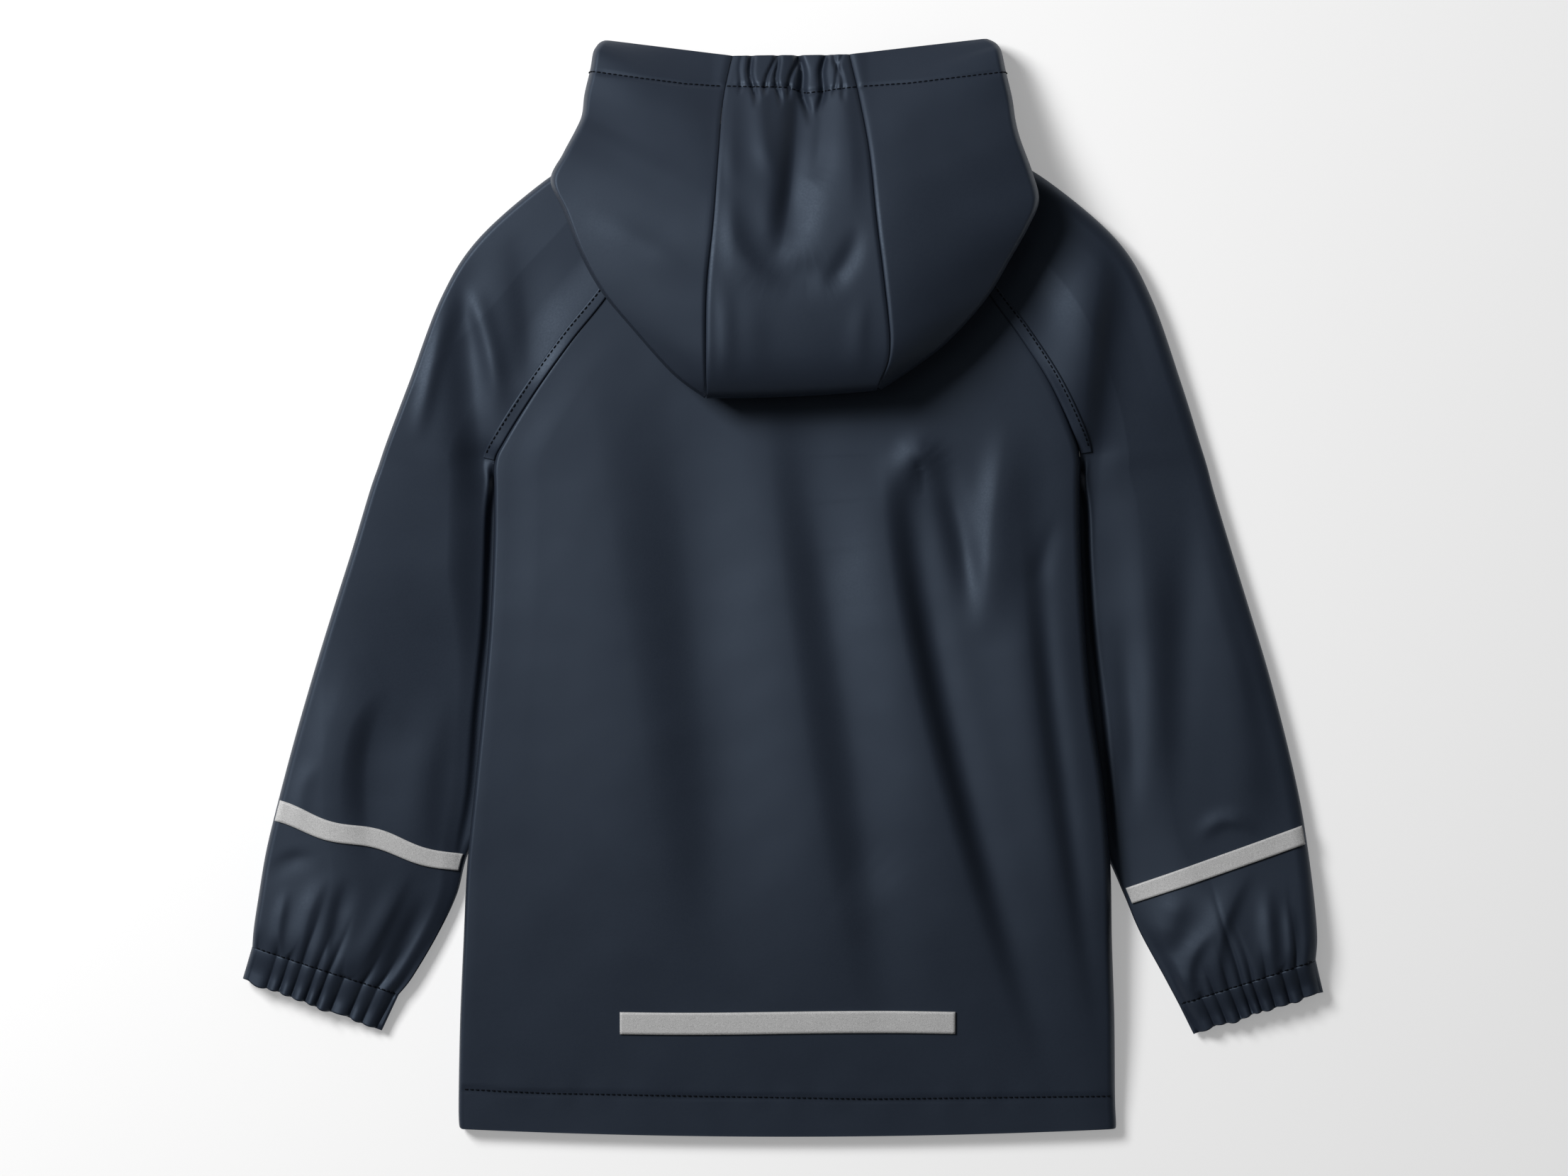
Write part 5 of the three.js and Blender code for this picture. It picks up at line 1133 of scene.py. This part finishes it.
# %% Coated cloth, tape, thread and stud
def coated_cloth():
    deep, light, sheen = (0.0125, 0.0172, 0.0285), (0.0152, 0.0207, 0.0335), (0.62, 0.78, 1.0)
    material, tree, shader, place = new_material("coated_cloth", deep, 0.56, 0.6, sheen)
    wide, fine = noise(tree, place, 24.0), noise(tree, place, 900.0, 2.0)
    color = blend(tree, spread_to(tree, wide, 0, 1), deep, light)
    tree.links.new(color, shader.inputs["Base Color"])
    tree.links.new(spread_to(tree, fine, 0.53, 0.59), shader.inputs["Roughness"])
    waves = bump(tree, noise(tree, place, 21.0, 1.0), 0.0009)
    grain = bump(tree, fine, 0.00002, 0.8, before=waves)
    tree.links.new(grain, shader.inputs["Normal"])
    return material


def reflective_tape():
    material, tree, shader, place = new_material("reflective_tape", (0.55, 0.55, 0.55), 0.5)
    # the bead specks are partly the grain of the beads and partly a painted sparkle: lighter colour stands in
    # for glints of light
    bead_grain_and_sparkle, wide = noise(tree, place, 2600.0, 2.0, 0.6), noise(tree, place, 60.0)
    color = blend(tree, spread_to(tree, bead_grain_and_sparkle, 0, 1, 0.35, 0.65), (0.42, 0.42, 0.42), (0.68, 0.68, 0.68))
    tree.links.new(color, shader.inputs["Base Color"])
    tree.links.new(spread_to(tree, wide, 0.42, 0.55), shader.inputs["Roughness"])
    return material


def plain_material(name, color, roughness, spots, level=0.5):
    material, tree, shader, place = new_material(name, color, roughness, level)
    darker = tuple(0.8 * part for part in color)
    tree.links.new(blend(tree, noise(tree, place, spots), darker, color), shader.inputs["Base Color"])
    return material


MATERIALS = {
    "coated_cloth": coated_cloth(),
    "reflective_tape": reflective_tape(),
    "stud": plain_material("stud", (0.018, 0.023, 0.034), 0.35, 400.0),
    "thread": plain_material("thread", (0.004, 0.0055, 0.009), 0.9, 900.0, level=0.1),
}
print("materials:", list(MATERIALS))

# %% [markdown]
# ## What each piece is
#
# Each visible piece rides on the coat's one body and takes the place of its solid. The table also
# lists how large each piece was cut: along its threads, before it was sewn and laid down. The studs are
# solid parts, so they come over from the solid model as they are and only get their material. They
# could be modelled again, but a plain cap gains nothing by that. Punching the stud holes leaves an
# empty material on the left front, so each piece is cleared before it gets its own.

PIECES = [  # visual piece, solid, width and length of the cut in metres, flat area, how it is held
    (back, "back", 0.352, 0.526, 0.159, "laid"),
    (fronts["left"], "front_left", 0.195, 0.52, 0.083, "laid"),
    (fronts["right"], "front_right", 0.195, 0.52, 0.0824, "laid"),
    (sleeves["left"], "sleeve_left", 0.22, 0.47, 0.0895, "laid"),
    (sleeves["right"], "sleeve_right", 0.22, 0.47, 0.0918, "laid"),
    (cuffs["left"], "cuff_left", 0.175, 0.0215, 0.00373, "gathered"),
    (cuffs["right"], "cuff_right", 0.175, 0.0215, 0.00315, "gathered"),
    (hood_strip, "hood_strip", 0.1, 0.36, 0.0293, "gathered"),
    (hood_sides["left"], "hood_left", 0.2, 0.19, 0.028, "laid"),
    (hood_sides["right"], "hood_right", 0.2, 0.19, 0.0286, "laid"),
    (tape_back, "tape_back", 0.179, 0.0118, 0.00211, "laid"),
    (tapes["left"], "tape_left", 0.108, 0.0118, 0.00127, "laid"),
    (tapes["right"], "tape_right", 0.1, 0.0118, 0.00114, "laid"),
    (bands["left"], "band_left", 0.167, 0.01, 0.0011, "laid"),
    (bands["right"], "band_right", 0.158, 0.01, 0.00104, "laid"),
]
for piece, solid, width, length, area, held in PIECES:
    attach(piece, "root")
    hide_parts(solid)
    slot = "reflective_tape" if solid.startswith("tape") else "coated_cloth"
    piece.data.materials.clear()
    piece.data.materials.append(MATERIALS[slot])
for line in stitches:
    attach(line, "root")
    line.data.materials.append(MATERIALS["thread"])
for number in range(1, len(STUD_ROWS) + 1):
    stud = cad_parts[f"stud_{number}"]
    stud.data.materials.clear()
    stud.data.materials.append(MATERIALS["stud"])
print("sheets:", len(PIECES), "studs:", len(STUD_ROWS))

# %% [markdown]
# ## Floor, light and camera
#
# The coat lies on a pale surface that the light makes nearly white. One soft lamp from the upper
# left shows the folds, a wide weak one fills the shadows, and the camera looks straight down
# through a long lens. A lens close by would make the hood larger than the hem.

# %% The floor and the lamps
def aimed(thing, place, towards=(0, 0, 0)):
    thing.location = place
    thing.rotation_euler = (Vector(towards) - Vector(place)).to_track_quat("-Z", "Y").to_euler()
    bpy.context.collection.objects.link(thing)


def soft_lamp(name, place, size, power):
    lamp = bpy.data.lights.new(name, "AREA")
    lamp.shape, lamp.size, lamp.energy = "SQUARE", size, power
    aimed(bpy.data.objects.new(name, lamp), place)


bpy.ops.mesh.primitive_plane_add(size=12, location=(0, 0, -0.0002))
floor = bpy.context.object
floor.name = "floor"
floor_material, _, floor_shader, _ = new_material("floor_paint", (0.85, 0.85, 0.85), 0.9)
floor_shader.inputs["Emission Color"].default_value = (1, 1, 1, 1)
floor_shader.inputs["Emission Strength"].default_value = 0.3
floor.data.materials.append(floor_material)
soft_lamp("key", (-1.35, 0.95, 1.6), 0.8, 50)
soft_lamp("top", (-1.5, 0.7, 3.4), 1.8, 5)
world = bpy.data.worlds.new("studio")
world.use_nodes = True
world.node_tree.nodes["Background"].inputs["Color"].default_value = (1, 1, 1, 1)
world.node_tree.nodes["Background"].inputs["Strength"].default_value = 0.07
bpy.context.scene.world = world
bpy.context.scene.view_settings.view_transform = "Standard"
print("floor and two lamps placed")

# %% The camera
CAMERA_X, CAMERA_HEIGHT, PICTURE_WIDTH, SENSOR_WIDTH = 0.0006, 3.5, 0.8406, 36
camera_data = bpy.data.cameras.new("camera")
camera_data.sensor_width = SENSOR_WIDTH
camera_data.lens = SENSOR_WIDTH * CAMERA_HEIGHT / PICTURE_WIDTH
camera_data.clip_end = 20
camera = bpy.data.objects.new("camera", camera_data)
camera.location = (CAMERA_X, 0, CAMERA_HEIGHT)
bpy.context.collection.objects.link(camera)
bpy.context.scene.camera = camera
print("lens", round(camera_data.lens, 1), "mm")
